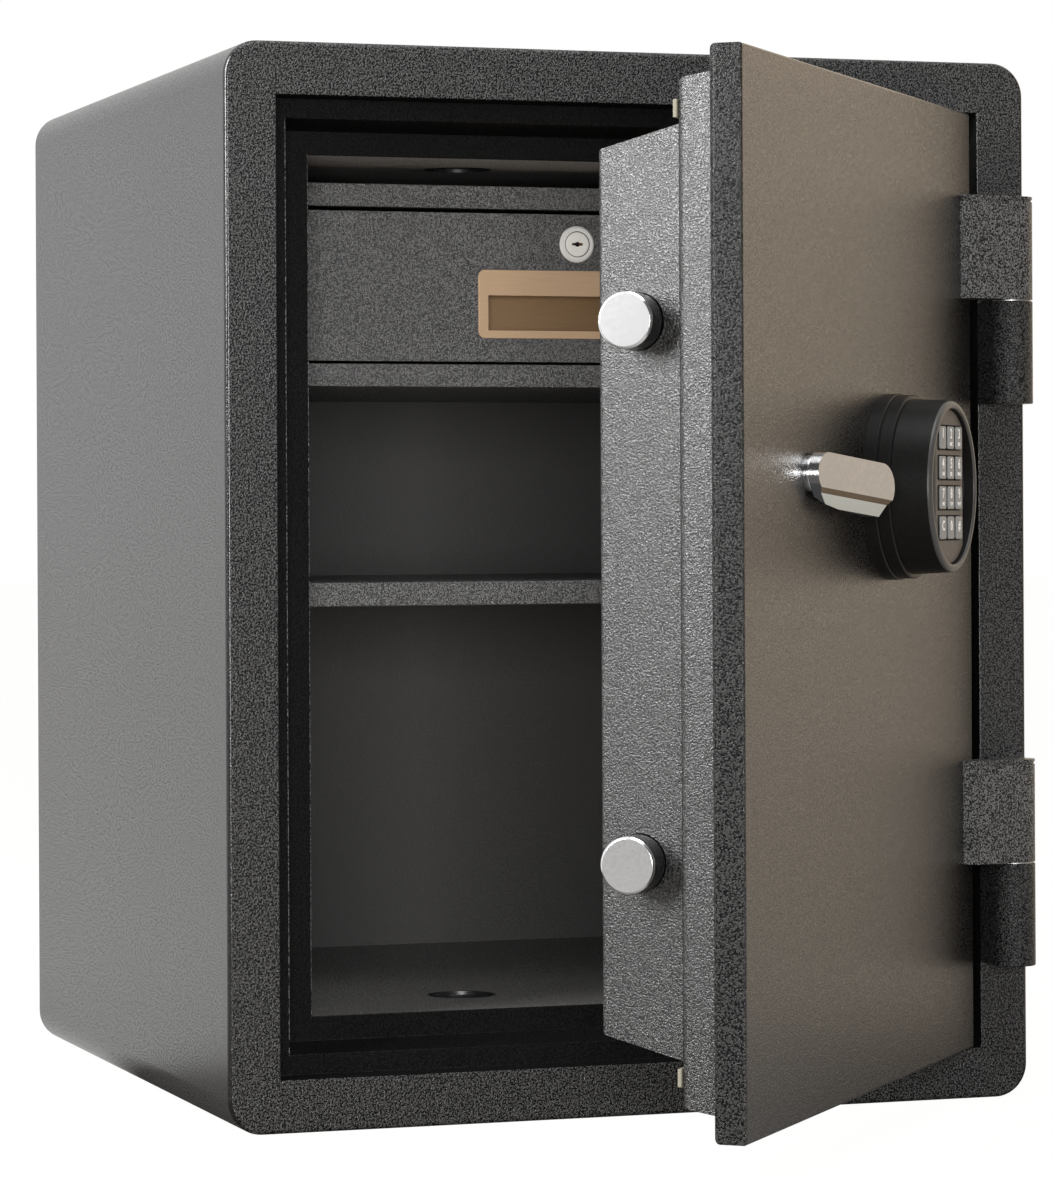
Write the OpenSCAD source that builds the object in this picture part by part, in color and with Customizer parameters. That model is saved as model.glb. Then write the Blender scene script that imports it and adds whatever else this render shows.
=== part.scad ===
// Fire and security safe with an inner drawer, in millimetres.
// The origin is the middle of the underside. X runs to the right, Y from the front to the back, Z up.
// Sizes in Y are counted from the front face, and door sizes from the door's own front face and edges.

/* [Body] */
// Outside width of the body
body_w = 471.5; // [440:1:560]
// Outside depth of the body
body_d = 470.9; // [440:1:600]
// Outside height of the body
body_h = 590; // [560:1:700]
// Radius of the long rounded edges that run front to back
edge_r = 18.9; // [8:0.1:25]
// Thickness of the casing sheet
casing_t = 2; // [1:0.1:3]
// Thickness of the front frame plate and of the back plate
plate_t = 3; // [3:0.1:5]
// Rounding of the outer front and back edges
rim_r = 2.5; // [1:0.1:2.8]

/* [Jamb] */
// Width of the front frame face all round the opening
frame_face = 28.85; // [24:0.05:30]
// Depth of the first ledge behind the front face
ledge_1_y = 21; // [20:0.5:22]
// How far the first ledge reaches in from the edge of the opening
ledge_1_in = 11; // [10:0.1:12]
// Depth of the second ledge behind the front face
ledge_2_y = 40.5; // [40.5:0.1:44]
// How far the drafted step has come in where it meets the second ledge
draft_in = 16; // [14:0.1:16.3]
// How far the clear inside lies in from the edge of the opening
clear_in = 29.2; // [27:0.1:31]
// Thickness of the jamb sheet
jamb_t = 2; // [1:0.1:3]

/* [Inside] */
// Depth of the back wall of the inside behind the front face
inside_back = 413; // [390:1:420]
// Thickness of the lining sheet
liner_t = 1.2; // [0.8:0.1:2]
// Radius of the recessed discs in the floor and in the ceiling
disc_r = 20; // [14:0.5:26]
// Depth of the recessed discs
disc_deep = 2.6; // [2:0.1:5]
// Thickness of the recessed discs
disc_t = 1.2; // [0.8:0.1:1.5]
// Distance of the recessed discs to the left of the middle
disc_x = 66.5; // [40:0.5:100]
// Distance of the recessed discs behind the front face
disc_y = 117; // [100:1:180]
// Radius of the raised middle of a disc
disc_boss_r = 9; // [5:0.5:11]

/* [Shelf] */
// Depth of the shelf's front edge behind the front face
shelf_y = 100; // [96:1:130]
// Height of the shelf's top face
shelf_z = 295.7; // [220:0.1:330]
// Height of the shelf's folded front edge
shelf_lip = 13.6; // [12:0.1:20]
// Thickness of the shelf sheet
shelf_t = 1.5; // [1:0.1:2]
// Gap between the shelf and the walls
shelf_gap = 0.5; // [0.3:0.1:2]
// Length of the lip's hem under the shelf
shelf_hem = 10; // [6:0.5:14]
// Width of each leg of the angles that carry the shelf and the cabinet
angle_leg = 11; // [9:0.5:11]
// Thickness of these angles
angle_t = 1.2; // [1:0.1:2]
// Free length at both ends of these angles
angle_end = 15; // [12:1:40]

/* [Drawer cabinet] */
// Depth of the cabinet's front behind the front face
cab_y = 100; // [96:1:130]
// Air gap between the cabinet and the ceiling
cab_air = 10.1; // [6:0.1:16]
// Height of the cabinet
cab_h = 115.1; // [115.1:0.1:150]
// Height of the fascia over the drawer
fascia_h = 13.1; // [12:0.1:16]
// Height of the rail under the drawer
rail_h = 13; // [10:0.1:16]
// Gap between the fascia and the drawer front
gap_above = 2.4; // [1:0.1:3]
// Gap between the drawer front and the rail
gap_below = 1.5; // [1:0.1:3]
// Thickness of the cabinet sheet
cab_t = 1.2; // [1:0.1:1.5]
// Gap between the cabinet and the side walls
cab_gap = 1.2; // [0.6:0.1:2]
// Gap between the cabinet and the back wall
cab_back_gap = 2; // [0.5:0.5:8]
// Depth of the folds behind the fascia and the rail
fold_deep = 12.5; // [10:0.1:12.7]

/* [Drawer] */
// Gap between the drawer front and the side walls
front_gap = 1.7; // [1.2:0.1:3]
// Depth of the drawer front's folded edges
front_fold = 12; // [8:0.1:12.2]
// Thickness of the drawer sheet
tray_t = 1; // [0.8:0.1:1.5]
// Width of the runner channel beside the tray
runner_w = 6; // [5:0.1:8]
// Height of the runner channel
runner_h = 6.4; // [6:0.1:9]
// Thickness of the runner channel
runner_t = 1.2; // [1:0.1:1.4]
// Height of the runner channel above the tray's floor
runner_up = 7.5; // [4:0.5:30]
// Running gap of the drawer slides
slide_gap = 0.3; // [0.2:0.05:0.5]
// Height of the tray walls
tray_h = 62; // [50:1:64]
// Gap behind the tray
tray_back_gap = 9; // [4:1:40]

/* [Drawer pull] */
// Width of the flush pull's plate
pull_w = 120; // [100:1:160]
// Height of the flush pull's plate
pull_h = 39.2; // [36:0.1:40]
// Height of the plate's lower edge above the drawer front's lower edge
pull_up = 13.5; // [10:0.1:16]
// Corner radius of the plate
pull_r = 4; // [2:0.1:6]
// Thickness of the plate in front of the drawer
pull_t = 1; // [0.6:0.1:1.5]
// Width of the finger recess
grip_w = 108; // [80:1:108]
// Height of the mouth of the finger recess
grip_h = 20; // [16:0.1:22]
// Plate left below the finger recess
grip_low = 4.5; // [4:0.1:6]
// Depth of the finger recess
grip_deep = 15; // [12:0.5:20]
// Wall of the cup behind the finger recess
cup_t = 1.2; // [1:0.1:2]
// Height of the cup's inside, which reaches up behind the plate
cup_h = 31; // [26:0.5:31]

/* [Drawer lock] */
// Height of the lock above the drawer front's lower edge
lock_up = 68; // [66:0.1:69]
// Radius of the lock's bright ring
lock_ring_r = 10.5; // [10:0.1:12]
// How far the ring stands proud of the drawer front
lock_ring_t = 1.5; // [1:0.1:2.5]
// Radius of the lock's barrel
lock_barrel_r = 9; // [8.5:0.1:9.5]
// Radius of the turning plug
lock_plug_r = 7; // [6:0.1:7.5]
// Running clearance of the turning plug
lock_fit = 0.06; // [0.03:0.01:0.1]
// Length of the barrel behind the drawer front
lock_barrel_l = 12.8; // [12.8:0.1:15]
// Thickness of the cam
lock_cam_t = 2; // [1.5:0.1:3]
// Reach of the cam from the lock's axis
lock_cam_l = 26; // [24:0.5:28]
// Width of the cam
lock_cam_w = 12; // [10:0.5:14]
// Height of the key slot
key_slot_h = 1.6; // [1.2:0.1:2]
// Width of the key slot
key_slot_w = 8; // [6:0.1:9]

/* [Door] */
// Gap between the door and the opening
door_gap = 2.4; // [2.1:0.1:3]
// Gap between the door and the opening above and below
door_gap_z = 2.35; // [1.5:0.05:3]
// Angle at which the door stands open
door_open = 50; // [44:1:54]
// Thickness of the door's front pan
pan_d = 17; // [14:0.5:18]
// Thickness of the pan's front plate
pan_t = 4; // [3:0.1:6]
// Thickness of the pan's folded edges
fold_t = 2; // [1.5:0.1:3]
// Rounding of the pan's front edges
pan_front_r = 1.5; // [0.5:0.1:2.5]
// Rounding of the pan's rear edges
pan_back_r = 3.5; // [1:0.1:4]
// Depth at which the middle step ends
step_d = 38; // [34:0.5:38]
// How far the middle step lies in from the door's edge at the pan
step_in = 11.5; // [11.5:0.1:13]
// How far the middle step lies in at its rear edge
step_in_back = 14.5; // [14.5:0.1:16]
// Rounding of the middle step's rear edge
step_r = 5; // [2:0.1:6]
// Thickness of the middle step's sheet
step_t = 2; // [1.5:0.1:3]
// Depth at which the inner plug starts
plug_front = 44; // [42:0.5:46]
// Depth of the inner plug's rear face
plug_depth = 90; // [88:0.5:92]
// How far the plug lies in from the door's edge at its front
plug_in = 34.8; // [34:0.1:36]
// How far the plug lies in at its rear face
plug_in_back = 45.2; // [45:0.1:48]
// Rounding of the plug's rear edges
plug_r = 3; // [1:0.1:4]
// Thickness of the plug's sheet
plug_t = 2; // [1.5:0.1:3]
// How much narrower the plug's neck is on each side
neck_in = 2; // [1:0.1:3]
// Outer edge of the heat seal, in from the door's edge
seal_in = 24.5; // [22:0.1:26]
// Width of the heat seal
seal_w = 9; // [6:0.1:9]
// Thickness of the heat seal
seal_t = 2.2; // [1.5:0.1:2.2]

/* [Hinges] */
// Distance of the hinge pins outside the door's edge
pin_out = 13.9; // [13.5:0.1:15]
// Distance of the hinge pins in front of the door's face
pin_front = 20.1; // [19:0.1:22]
// Radius of the knuckles
knuckle_r = 12; // [10:0.1:12.3]
// Radius of the hinge pins
pin_r = 6; // [4:0.1:7]
// Running clearance of the pins in the door's knuckles
pin_fit = 0.06; // [0.03:0.01:0.1]
// Height of a knuckle
knuckle_h = 58; // [40:0.5:66]
// Distance of each hinge above and below the middle of the door
hinge_off = 158.8; // [140:0.1:175]
// Thickness of the thrust washers
washer_t = 0.6; // [0.5:0.1:2]
// Gap above the thrust washers
washer_gap = 0.2; // [0.1:0.05:0.3]
// Width of the moving knuckle's foot on the door
foot_w = 20; // [15:0.5:26]
// Height of the moving knuckle's foot
foot_h = 10; // [6:0.1:11]
// Corner cut of the moving knuckle's foot
foot_cut = 3; // [1:0.1:4]
// Thickness of the raised rim at the top of the moving knuckle
cap_t = 1.5; // [1:0.1:3]
// Depth of the groove under this rim
cap_groove = 0.6; // [0.3:0.1:1]

/* [Live bolts] */
// Radius of the live bolts
bolt_r = 14.15; // [11:0.05:14.5]
// Depth of the bolts' axis behind the door's face
bolt_y = 67.5; // [66:0.5:68]
// Distance of each bolt above and below the middle of the door
bolt_off = 133; // [115:1:150]
// How far the bolts stand out of the plug at their axis
bolt_out = 19.5; // [16:0.1:21]
// Travel of the bolts
bolt_travel = 20; // [18:0.1:20]
// Chamfer at the tips of the bolts
bolt_chamfer = 1; // [0.5:0.1:2]
// Clearance of the holes in the plug round the bolts
bolt_hole_gap = 0.4; // [0.3:0.1:1]
// Running clearance of the bolts in their guides
bolt_fit = 0.06; // [0.03:0.01:0.1]
// Distance between the plug's side and the guides
guide_in = 9; // [8:0.5:14]
// Length of the guides
guide_l = 18; // [14:0.5:18]
// Wall of the guides round the bolts
guide_wall = 6; // [5:0.1:6]
// Radius of the bolts' tails in the bar
tail_r = 7; // [5:0.1:8]
// Length of the bolts' tails past the bar
tail_out = 2; // [0:0.1:3]
// Thickness of the bar that joins the bolts
bar_t = 6; // [4:0.1:8]
// Width of the bar
bar_w = 18; // [16:0.5:18]
// Bar left past each bolt's axis
bar_end = 12; // [10:0.5:20]
// Gap round a bolt in its pocket
pocket_gap = 1.5; // [1:0.1:2]
// Gap between a bolt's tip and the bottom of its pocket
pocket_end = 3; // [1.5:0.1:5]

/* [Lever] */
// Distance of the lever's axis from the free edge of the door
lever_in = 107; // [100:1:112]
// Height of the lever's axis above the middle of the door
lever_up = 58.5; // [50:0.5:65]
// How far the lever turns
lever_turn = 60; // [45:1:60]
// How far the lever droops from level
lever_droop = 5.7; // [0:0.1:10]
// Reach of the lever from its axis to its tip
lever_reach = 63; // [56:0.5:70]
// Radius of the lever's hub, whose top runs on as the lever's top
hub_r = 10.4; // [9.5:0.1:11.5]
// Radius of the rounded tip
tip_r = 11.8; // [10:0.1:13]
// How far the tip slants back down to its lower corner
tip_back = 9; // [7:0.5:12]
// Depth of the lever's lower edge below its axis
wing_low = 16.8; // [15:0.1:19]
// Where the lower edge starts, past the axis
wing_start = 3.7; // [2:0.1:8]
// Height of the lever's back face above the door
lever_gap = 6.6; // [5:0.1:10]
// Thickness of the lever at the hub's end
lever_t = 5.2; // [4:0.1:7]
// Angle at which the lever's face leaves the door towards its tip
lever_lift = 10.4; // [6:0.1:13]
// Depth of the underside's slant, from the back face forwards
slant_d = 8; // [5:0.1:9]
// Height of this slant
slant_h = 5.3; // [3:0.1:6]
// Radius of the lever's neck
neck_r = 8.5; // [7.5:0.1:9.2]
// Radius of the bright collar
collar_r = 8.9; // [8.5:0.1:11]
// Thickness of the bright collar
collar_t = 1.8; // [1:0.1:3]
// Running gap between the collar and the neck
collar_gap = 0.3; // [0.2:0.05:0.5]
// Where the step below the lever's face starts, under the axis
groove_low = 7.7; // [6:0.1:9]
// Height of this step
groove_h = 2.6; // [1.5:0.1:3]
// Depth of this step
groove_d = 2; // [1:0.1:2.5]
// How far the bevel below the step leans back
bevel_d = 1.4; // [0.5:0.1:2]
// Radius of the spindle
spindle_r = 6; // [5:0.1:7]
// Running clearance of the spindle in the door plate
spindle_fit = 0.06; // [0.03:0.01:0.1]
// Depth of the spindle's inner end behind the door's face
spindle_in = 61; // [58:0.5:61]
// How far the spindle reaches into the lever
spindle_grip = 4.5; // [3:0.5:5]
// Thickness of the crank on the spindle
crank_t = 7; // [5:0.5:8]
// Radius of the crank's hub
crank_r = 11; // [9:0.5:12]
// Radius of the crank pin
crank_pin_r = 3; // [2:0.1:3.5]
// Clearance of the crank pin in its slot
slot_gap = 0.35; // [0.3:0.05:0.6]
// Plate left between the bar and the slot
slot_wall = 5; // [3:0.1:8]
// Gap between the crank and the driven plate
plate_gap = 2; // [1:0.1:3]
// Thickness of the driven plate
drive_t = 4; // [3:0.1:5]
// Height of the driven plate
drive_h = 24; // [20:1:28]
// Plate left beyond the slot, which takes it past the crank's hub
drive_end = 28; // [26:0.5:32]

/* [Electronic lock] */
// Width of the lock case
lock_w = 58; // [40:1:70]
// Height of the lock case
lock_h = 85; // [60:1:90]
// Thickness of the lock case
lock_d = 30; // [26:0.5:34]
// Width of the lock's bolt
lock_bolt_w = 13; // [10:0.5:16]
// Thickness of the lock's bolt
lock_bolt_d = 12; // [9:0.5:14]
// Throw of the lock's bolt
lock_throw = 10; // [8:0.1:12]
// How far the bolt overlaps the driven plate when thrown
lock_bite = 5; // [3:0.5:5]
// Running gap of the lock's bolt
lock_gap = 0.3; // [0.2:0.05:0.5]
// Wall of the lock case
lock_wall = 6; // [4:0.5:8]

/* [Keypad] */
// Gap between the lever's tip and the keypad
pad_gap = 25.7; // [18:0.1:30]
// Height of the keypad's axis above the middle of the door
pad_up = 52.3; // [40:0.1:60]
// Radius of the keypad's base
base_r = 49.3; // [46:0.1:56]
// Thickness of the base
base_t = 7; // [5:0.1:10]
// Height of the base's second ring above the door
ring_top = 14.5; // [12:0.1:18]
// How much narrower the second ring is
ring_in = 0.7; // [0.4:0.1:1.5]
// Height of the keypad above the door
pad_h = 36; // [33:0.1:42]
// Radius of the housing at its foot
house_r = 46.3; // [44:0.1:48]
// Radius of the housing at its face
face_r = 45.2; // [43:0.1:46]
// Rounding of the housing's face
face_round = 2.4; // [1:0.1:3]
// Radius of the recess in the face
dish_r = 41; // [38:0.1:41.5]
// Depth of the recess
dish_d = 7; // [6:0.1:9]
// Width of the brown panel in the recess
panel_w = 52; // [50:0.5:56]
// Thickness of the panel
panel_t = 4; // [3:0.1:4]
// Gap round the panel
panel_gap = 0.4; // [0.2:0.1:0.8]
// Side of a key
key_s = 12; // [10:0.1:12.4]
// Distance between columns of keys
col_pitch = 15.4; // [14:0.1:16]
// Distance between rows of keys
row_pitch = 15.8; // [14.5:0.1:16.5]
// Height of the middle of the keys above the keypad's axis
keys_up = 1.9; // [0:0.1:2.5]
// How far the keys stand above the panel
key_out = 1.2; // [0.8:0.1:2]
// Thickness of a key
key_t = 3.2; // [2.5:0.1:3.6]
// Travel of a key
key_travel = 1.5; // [0.8:0.1:1.6]
// Gap between the keys and the edge of their window
key_gap = 0.6; // [0.3:0.1:0.8]
// Radius of a key's stem
stem_r = 2; // [1.5:0.1:2.5]
// Length of a key's stem
stem_l = 5; // [4:0.1:6]
// Gap round a key's stem
stem_gap = 0.3; // [0.2:0.05:0.5]

/* [Hidden] */

// Smooth circles, and the steps of a small rounded edge
$fn = 96;
arc_steps = 6;
// How far a cut runs past the face that it opens
eps = 1;
// Half the width and half the height of the opening, and of the door
open_x = body_w / 2 - frame_face;
open_z = body_h / 2 - frame_face;
door_x = open_x - door_gap;
door_z = open_z - door_gap_z;
mid_z = body_h / 2;
// Half the width and half the height of the clear inside
in_x = open_x - clear_in;
in_z = open_z - clear_in;
floor_z = mid_z - in_z;
ceiling_z = mid_z + in_z;
liner_front = ledge_2_y + jamb_t;
// Heights of the cabinet and of the drawer front in it
cab_top = ceiling_z - cab_air;
cab_low = cab_top - cab_h;
front_top = cab_top - fascia_h - gap_above;
front_low = cab_low + rail_h + gap_below;
cab_x = in_x - cab_gap;
cab_back = inside_back - cab_back_gap;
side_y = cab_y + fold_deep + eps / 2;
// Widths of the drawer parts
front_x = in_x - front_gap;
runner_x = cab_x - cab_t;
tray_x = runner_x - runner_w - slide_gap;
tray_z = front_low + cab_t;
runner_z = tray_z + runner_up;
tray_back = cab_back - cab_t - tray_back_gap;
// Places on the drawer front
pull_z = front_low + pull_up;
grip_z = pull_z + grip_low;
lock_z = front_low + lock_up;
// The hinge pins, the lever, the keypad and the bolts
pin_x = door_x + pin_out;
lever_x = -door_x + lever_in;
lever_z = mid_z + lever_up;
pad_x = lever_x + lever_reach + pad_gap + base_r;
pad_z = mid_z + pad_up;
plug_slope = (plug_in_back - plug_in) / (plug_depth - plug_front);
plug_side = -door_x + plug_in + plug_slope * (bolt_y - plug_front);
bolt_tip = plug_side - bolt_out;
work_front = plug_front + plug_t;
work_back = plug_depth - plug_t;
// The crank turns from one side of upright to the other and carries the bolts their full travel
crank_l = bolt_travel / 2 / sin(lever_turn / 2);
drive_y = spindle_in + plate_gap;
drive_z = lever_z + crank_l * cos(lever_turn / 2) - drive_h / 2;
slot_x = lever_x - bolt_travel / 2;
slot_half = crank_pin_r + slot_gap;
drive_x = slot_x + slot_half + drive_end;
bar_x = slot_x - slot_half - slot_wall - bar_t;
bolt_l = bar_x - bolt_tip;
// The electronic lock stands beside the driven plate, its bolt just clear of the plate's edge
lock_top = drive_z - lock_throw + lock_bite - eps;
lock_bolt_x = drive_x + eps;
lock_bolt_y = drive_y + drive_t / 2;
// Levels of the keypad in front of the door
dish_y = -(pad_h - dish_d);
panel_y = dish_y - panel_t;
key_y = panel_y - key_out;

// Vectors and rounded corners
function unit(v) = v / norm(v);
function corner_arc(p, a, b, r) =
    let (u = unit(a - p), v = unit(b - p), half = acos(u * v) / 2)
    let (m = p + unit(u + v) * r / sin(half), s = p + u * r / tan(half), e = p + v * r / tan(half))
    let (a0 = atan2(s[1] - m[1], s[0] - m[0]), a1 = atan2(e[1] - m[1], e[0] - m[0]))
    let (turn = (a1 - a0 + 540) % 360 - 180)
    [for (i = [0:arc_steps]) m + r * [cos(a0 + turn * i / arc_steps), sin(a0 + turn * i / arc_steps)]];
// An outline whose points p each have a radius r, with 0 for a sharp corner
function rounded(p, r) =
    [for (i = [0:len(p) - 1]) each (r[i] > 0
        ? corner_arc(p[i], p[(i + len(p) - 1) % len(p)], p[(i + 1) % len(p)], r[i])
        : [p[i]])];
// The right half of an outline, completed by its mirror image in x
function both_sides(p) =
    concat(p, [for (i = [len(p) - 1:-1:0]) if (p[i][0] > 0) [-p[i][0], p[i][1]]]);
function swapped(p) = [for (q = p) [q[1], q[0]]];
// The point where a line from a touches a circle round c, on its front side
function touch(a, c, r) =
    let (d = norm(c - a), turn = atan2(c[1] - a[1], c[0] - a[0]) - asin(r / d))
    a + sqrt(d * d - r * r) * [cos(turn), sin(turn)];

// Everything fixed to the body is drawn from the front face back
module in_body() {
    translate([0, -body_d / 2, 0]) children();
}

// Everything on the door is drawn with the door shut, then swung open about the pins
module on_door() {
    in_body() translate([pin_x, -pin_front, 0]) rotate([0, 0, door_open])
        translate([-pin_x, pin_front, 0]) children();
}

// A plan outline in x and y, raised between two heights
module upright(z0, z1) {
    translate([0, 0, z0]) linear_extrude(height = z1 - z0) children();
}

// A section in y and z, drawn between two places in x
module across(x0, x1) {
    translate([x0, 0, 0]) rotate([90, 0, 90]) linear_extrude(height = x1 - x0) children();
}

// An outline in x and z, drawn between two depths
module deep(y0, y1) {
    translate([0, y1, 0]) rotate([90, 0, 0]) linear_extrude(height = y1 - y0) children();
}

// A round bar along x or along y
module bar_along_x(x0, x1, r) {
    translate([x0, 0, 0]) rotate([0, 90, 0]) cylinder(h = x1 - x0, r = r);
}
module bar_along_y(y0, y1, r) {
    translate([0, y1, 0]) rotate([90, 0, 0]) cylinder(h = y1 - y0, r = r);
}

// A mitred frame or plug: the same section, with its own half size, across the width and the height
module mitred(half_x, half_z) {
    intersection() {
        upright(0, body_h) polygon(both_sides(half_x));
        translate([0, 0, mid_z]) across(-body_w, body_w) polygon(swapped(both_sides(half_z)));
    }
}

// A plate with rounded corners r, whose front edge is rounded by e
module soft_plate(w, h, r, t, e) {
    edge = rounded([[0, 0], [r, 0], [r, t], [0, t]], [0, e, 0, 0]);
    for (q = [0:3]) {
        a = (q % 2 == 0) ? w : h;
        b = (q % 2 == 0) ? h : w;
        rotate([0, q * 90, 0]) {
            translate([a / 2 - r, 0, b / 2 - r]) rotate([90, 0, 0]) mirror([0, 0, 1])
                rotate_extrude(angle = 90) polygon(edge);
            translate([a / 2 - r, 0, 0]) upright(-b / 2 + r, b / 2 - r) polygon(edge);
        }
    }
    translate([-w / 2 + r, 0, -h / 2 + r]) cube([w - 2 * r, t, h - 2 * r]);
}

// A sheet bent round four corners, as a sleeve along y
module sleeve(w, h, r, t, l) {
    for (q = [0:3]) {
        a = (q % 2 == 0) ? w : h;
        b = (q % 2 == 0) ? h : w;
        rotate([0, q * 90, 0]) {
            translate([a / 2 - r, 0, b / 2 - r]) rotate([90, 0, 0]) mirror([0, 0, 1])
                rotate_extrude(angle = 90) translate([r - t, 0]) square([t, l]);
            translate([a / 2 - t, 0, -b / 2 + r]) cube([t, l, b - 2 * r]);
        }
    }
}

// The right half of the jamb's section, grown outwards by g, ending at depth y1
function jamb(a, g, y1) = [
    [a + g, -eps], [a + g, ledge_1_y + g], [a - ledge_1_in + g, ledge_1_y + g],
    [a - draft_in + g, ledge_2_y + g], [a - clear_in + g, ledge_2_y + g], [a - clear_in + g, y1]
];

module outer_casing() {
    color("dimgray") in_body() translate([0, plate_t, mid_z])
        sleeve(body_w, body_h, edge_r, casing_t, body_d - 2 * plate_t);
}

module back_panel() {
    color("dimgray") in_body() translate([0, body_d, mid_z]) rotate([0, 0, 180])
        soft_plate(body_w, body_h, edge_r, plate_t, rim_r);
}

module front_frame() {
    color([0.25, 0.25, 0.26]) in_body() difference() {
        union() {
            translate([0, 0, mid_z]) soft_plate(body_w, body_h, edge_r, plate_t, rim_r);
            intersection() {
                mitred(jamb(open_x, jamb_t, liner_front), jamb(open_z, jamb_t, liner_front));
                translate([-body_w / 2, 0, 0]) cube([body_w, liner_front, body_h]);
            }
        }
        mitred(jamb(open_x, 0, liner_front + eps), jamb(open_z, 0, liner_front + eps));
    }
}

// The round pocket for a live bolt, grown by g, drawn on the left wall
module pocket_space(g) {
    for (s = [-1, 1])
        translate([0, bolt_y, mid_z + s * bolt_off])
            bar_along_x(bolt_tip - pocket_end - g, -in_x + eps, bolt_r + pocket_gap + g);
}

// The two recessed discs' places
module at_discs() {
    translate([-disc_x, disc_y, ceiling_z]) children();
    translate([-disc_x, disc_y, floor_z]) mirror([0, 0, 1]) children();
}

module body_insulation() {
    color("lightgray") in_body() difference() {
        translate([0, plate_t, mid_z]) {
            w = body_w - 2 * casing_t;
            h = body_h - 2 * casing_t;
            r = edge_r - casing_t;
            soft_plate(w, h, r, body_d - 2 * plate_t, 0);
        }
        mitred(jamb(open_x, jamb_t, liner_front + eps), jamb(open_z, jamb_t, liner_front + eps));
        translate([-in_x - liner_t, ledge_2_y, floor_z - liner_t])
            cube([2 * (in_x + liner_t), inside_back + liner_t - ledge_2_y, 2 * (in_z + liner_t)]);
        pocket_space(liner_t);
        at_discs() cylinder(h = disc_deep + disc_t, r = disc_r + liner_t);
    }
}

module liner_side(s) {
    x0 = s > 0 ? in_x : -in_x - liner_t;
    translate([x0, liner_front, floor_z - liner_t])
        cube([liner_t, inside_back + liner_t - liner_front, 2 * (in_z + liner_t)]);
}

module liner_left() {
    color([0.12, 0.12, 0.13]) in_body() difference() {
        liner_side(-1);
        pocket_space(0);
    }
}

module liner_right() {
    color([0.12, 0.12, 0.13]) in_body() liner_side(1);
}

// A flat lining sheet over or under the inside, with the hole for its disc
module liner_flat(s) {
    z0 = s > 0 ? ceiling_z : floor_z - liner_t;
    difference() {
        translate([-in_x, liner_front, z0]) cube([2 * in_x, inside_back + liner_t - liner_front, liner_t]);
        translate([-disc_x, disc_y, z0 - eps]) cylinder(h = liner_t + 2 * eps, r = disc_r);
    }
}

module liner_floor() {
    color([0.14, 0.14, 0.15]) in_body() liner_flat(-1);
}

module liner_ceiling() {
    color([0.12, 0.12, 0.13]) in_body() liner_flat(1);
}

module liner_back() {
    color([0.1, 0.1, 0.11]) in_body() translate([-in_x, inside_back, floor_z])
        cube([2 * in_x, liner_t, 2 * in_z]);
}

// A cup for each live bolt, its rim welded round the hole in the left wall
module bolt_pockets() {
    color("gray") in_body() difference() {
        intersection() {
            pocket_space(liner_t);
            translate([-body_w, 0, 0]) cube([body_w - in_x - liner_t, body_d, body_h]);
        }
        pocket_space(0);
    }
}

// A stamped dish with a raised middle, its rim against the hole's edge
module liner_discs() {
    dish = [
        [0, disc_deep - disc_t], [disc_boss_r, disc_deep - disc_t], [disc_boss_r + disc_t, disc_deep],
        [disc_r - disc_t, disc_deep], [disc_r - disc_t, 0], [disc_r, 0], [disc_r, disc_deep + disc_t],
        [disc_boss_r, disc_deep + disc_t], [disc_boss_r - disc_t, disc_deep], [0, disc_deep]
    ];
    color([0.09, 0.09, 0.1]) in_body() at_discs() rotate_extrude() polygon(dish);
}

module shelf() {
    fold = [
        [shelf_y, shelf_z - shelf_lip], [shelf_y + shelf_hem, shelf_z - shelf_lip],
        [shelf_y + shelf_hem, shelf_z - shelf_lip + shelf_t],
        [shelf_y + shelf_t, shelf_z - shelf_lip + shelf_t], [shelf_y + shelf_t, shelf_z - shelf_t],
        [inside_back - shelf_gap, shelf_z - shelf_t], [inside_back - shelf_gap, shelf_z], [shelf_y, shelf_z]
    ];
    rounding = [shelf_t / 2, 0, 0, 0, 0, 0, 0, shelf_t / 2];
    color([0.22, 0.22, 0.23]) in_body()
        across(-in_x + shelf_gap, in_x - shelf_gap) polygon(rounded(fold, rounding));
}

// A pair of angles on the side walls, their upper legs at height z
module wall_angles(z, y0, y1) {
    for (s = [-1, 1]) scale([s, 1, 1]) {
        translate([in_x - angle_leg, y0, z - angle_t]) cube([angle_leg, y1 - y0, angle_t]);
        translate([in_x - angle_t, y0, z - angle_leg]) cube([angle_t, y1 - y0, angle_leg - angle_t]);
    }
}

module shelf_supports() {
    color([0.16, 0.16, 0.17]) in_body()
        wall_angles(shelf_z - shelf_t, shelf_y + angle_end, inside_back - angle_end);
}

module cabinet_cleats() {
    color([0.16, 0.16, 0.17]) in_body()
        wall_angles(cab_low, cab_y + angle_end, inside_back - angle_end);
}

module cabinet_top() {
    low = cab_top - fascia_h;
    fold = [
        [cab_y, low], [cab_y + fold_deep, low], [cab_y + fold_deep, low + cab_t],
        [cab_y + cab_t, low + cab_t], [cab_y + cab_t, cab_top - cab_t], [cab_back, cab_top - cab_t],
        [cab_back, cab_top], [cab_y, cab_top]
    ];
    color([0.24, 0.24, 0.25]) in_body() across(-cab_x, cab_x)
        polygon(rounded(fold, [cab_t / 2, 0, 0, 0, 0, 0, 0, cab_t / 2]));
}

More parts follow.
